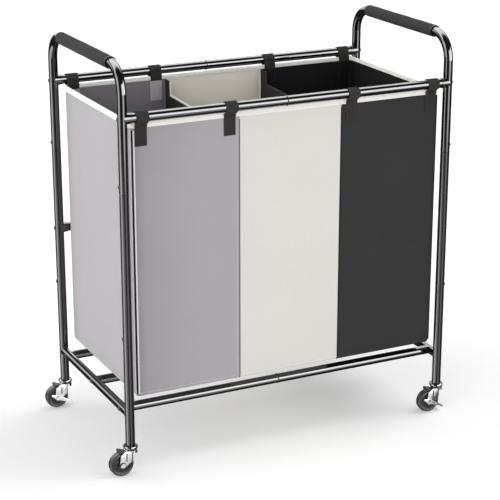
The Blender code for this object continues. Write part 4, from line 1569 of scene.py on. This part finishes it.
PATCH_HALF = 13.5 * MM
PATCH_LOW_Z = 664 * MM
PATCH_TOP_Z = 706.5 * MM


def patch_solid(x, y, outward):
    """A reinforcing patch on the bag's inner face, behind a strap."""
    half, low, high = PATCH_HALF, PATCH_LOW_Z, PATCH_TOP_Z
    grid = []
    for px in spaced(x - half, x + half, 3.4 * MM):
        row = []
        for pz in spaced(low, high, 3.4 * MM):
            edge = min(px - x + half, x + half - px, pz - low, high - pz)
            puff = 0.35 * MM * smooth(edge / (2.5 * MM))
            row.append((Vector((px, y - outward * (0.5 * MM + puff), pz)), Vector((0, -outward, 0))))
        grid.append(row)
    return thick_sheet(grid, 0.7 * MM)


def patch_stitches(x, y, outward):
    edge = 1.5 * MM
    half = PATCH_HALF - edge
    corners = box_outline(x - half, PATCH_LOW_Z + edge, x + half, PATCH_TOP_Z - edge)
    path = [Vector((px, y - outward * 0.9 * MM, pz)) for px, pz in corners + corners[:1]]
    return stitch_row(path, lambda point: (0, -outward, 0), STRAP_STITCH)


# The black section's patches take its inner side's darker colour, painted shade.
PATCH_LOOKS = {"grey": "grey_patch", "cream": "cream", "black": "black_lining"}


def add_patches(section, extras):
    places = patch_places(SPANS[section])
    if places:
        patches = joined([patch_solid(*place) for place in places])
        stitches = joined([patch_stitches(*place) for place in places])
        add_trim(extras, f"{section}_strap_patches", patches, PATCH_LOOKS[section])
        add_trim(extras, f"{section}_patch_stitches", stitches, f"{section}_thread")


def build_bag():
    sections = {name: add_section(name) for name in SPANS}
    extras = {name: section[1] for name, section in sections.items()}
    # At the grey corner the hem rolls carry painted light; at the black one they are the black cloth.
    ends = (("grey", BAG_LEFT_X, -1, "grey_hem"), ("black", BAG_RIGHT_X, 1, "black"))
    for name, corner_x, side, hem_look in ends:
        cord, rolls = corner_seam(corner_x, side)
        add_trim(extras[name], f"{name}_corner_piping", cord, "piping")
        add_trim(extras[name], f"{name}_corner_hems", rolls, hem_look)
    add_trim(extras["grey"], "left_seam_piping", seam_cords(LEFT_SEAM_X, 1.30 * MM), "grey_seam")
    add_trim(extras["black"], "right_seam_piping", seam_cords(RIGHT_SEAM_X, 1.40 * MM), "piping")
    for side in STRAP_SIDES:
        for number in STRAP_NUMBERS:
            add_strap(side, number)
    for name in SPANS:
        add_patches(name, extras[name])
    for name, (cloth, trims, flat, area) in sections.items():
        add_board(name)
    add_binding()
    add_divider("left", LEFT_SEAM_X)
    add_divider("right", RIGHT_SEAM_X)


def build_scene():
    bpy.context.scene.view_settings.view_transform = "Standard"
    make_looks()
    add_camera()
    add_studio()
    add_key_light()
    add_floor()
    build_frame()
    for corner in CORNERS:
        build_caster(corner)
    build_bag()


build_scene()
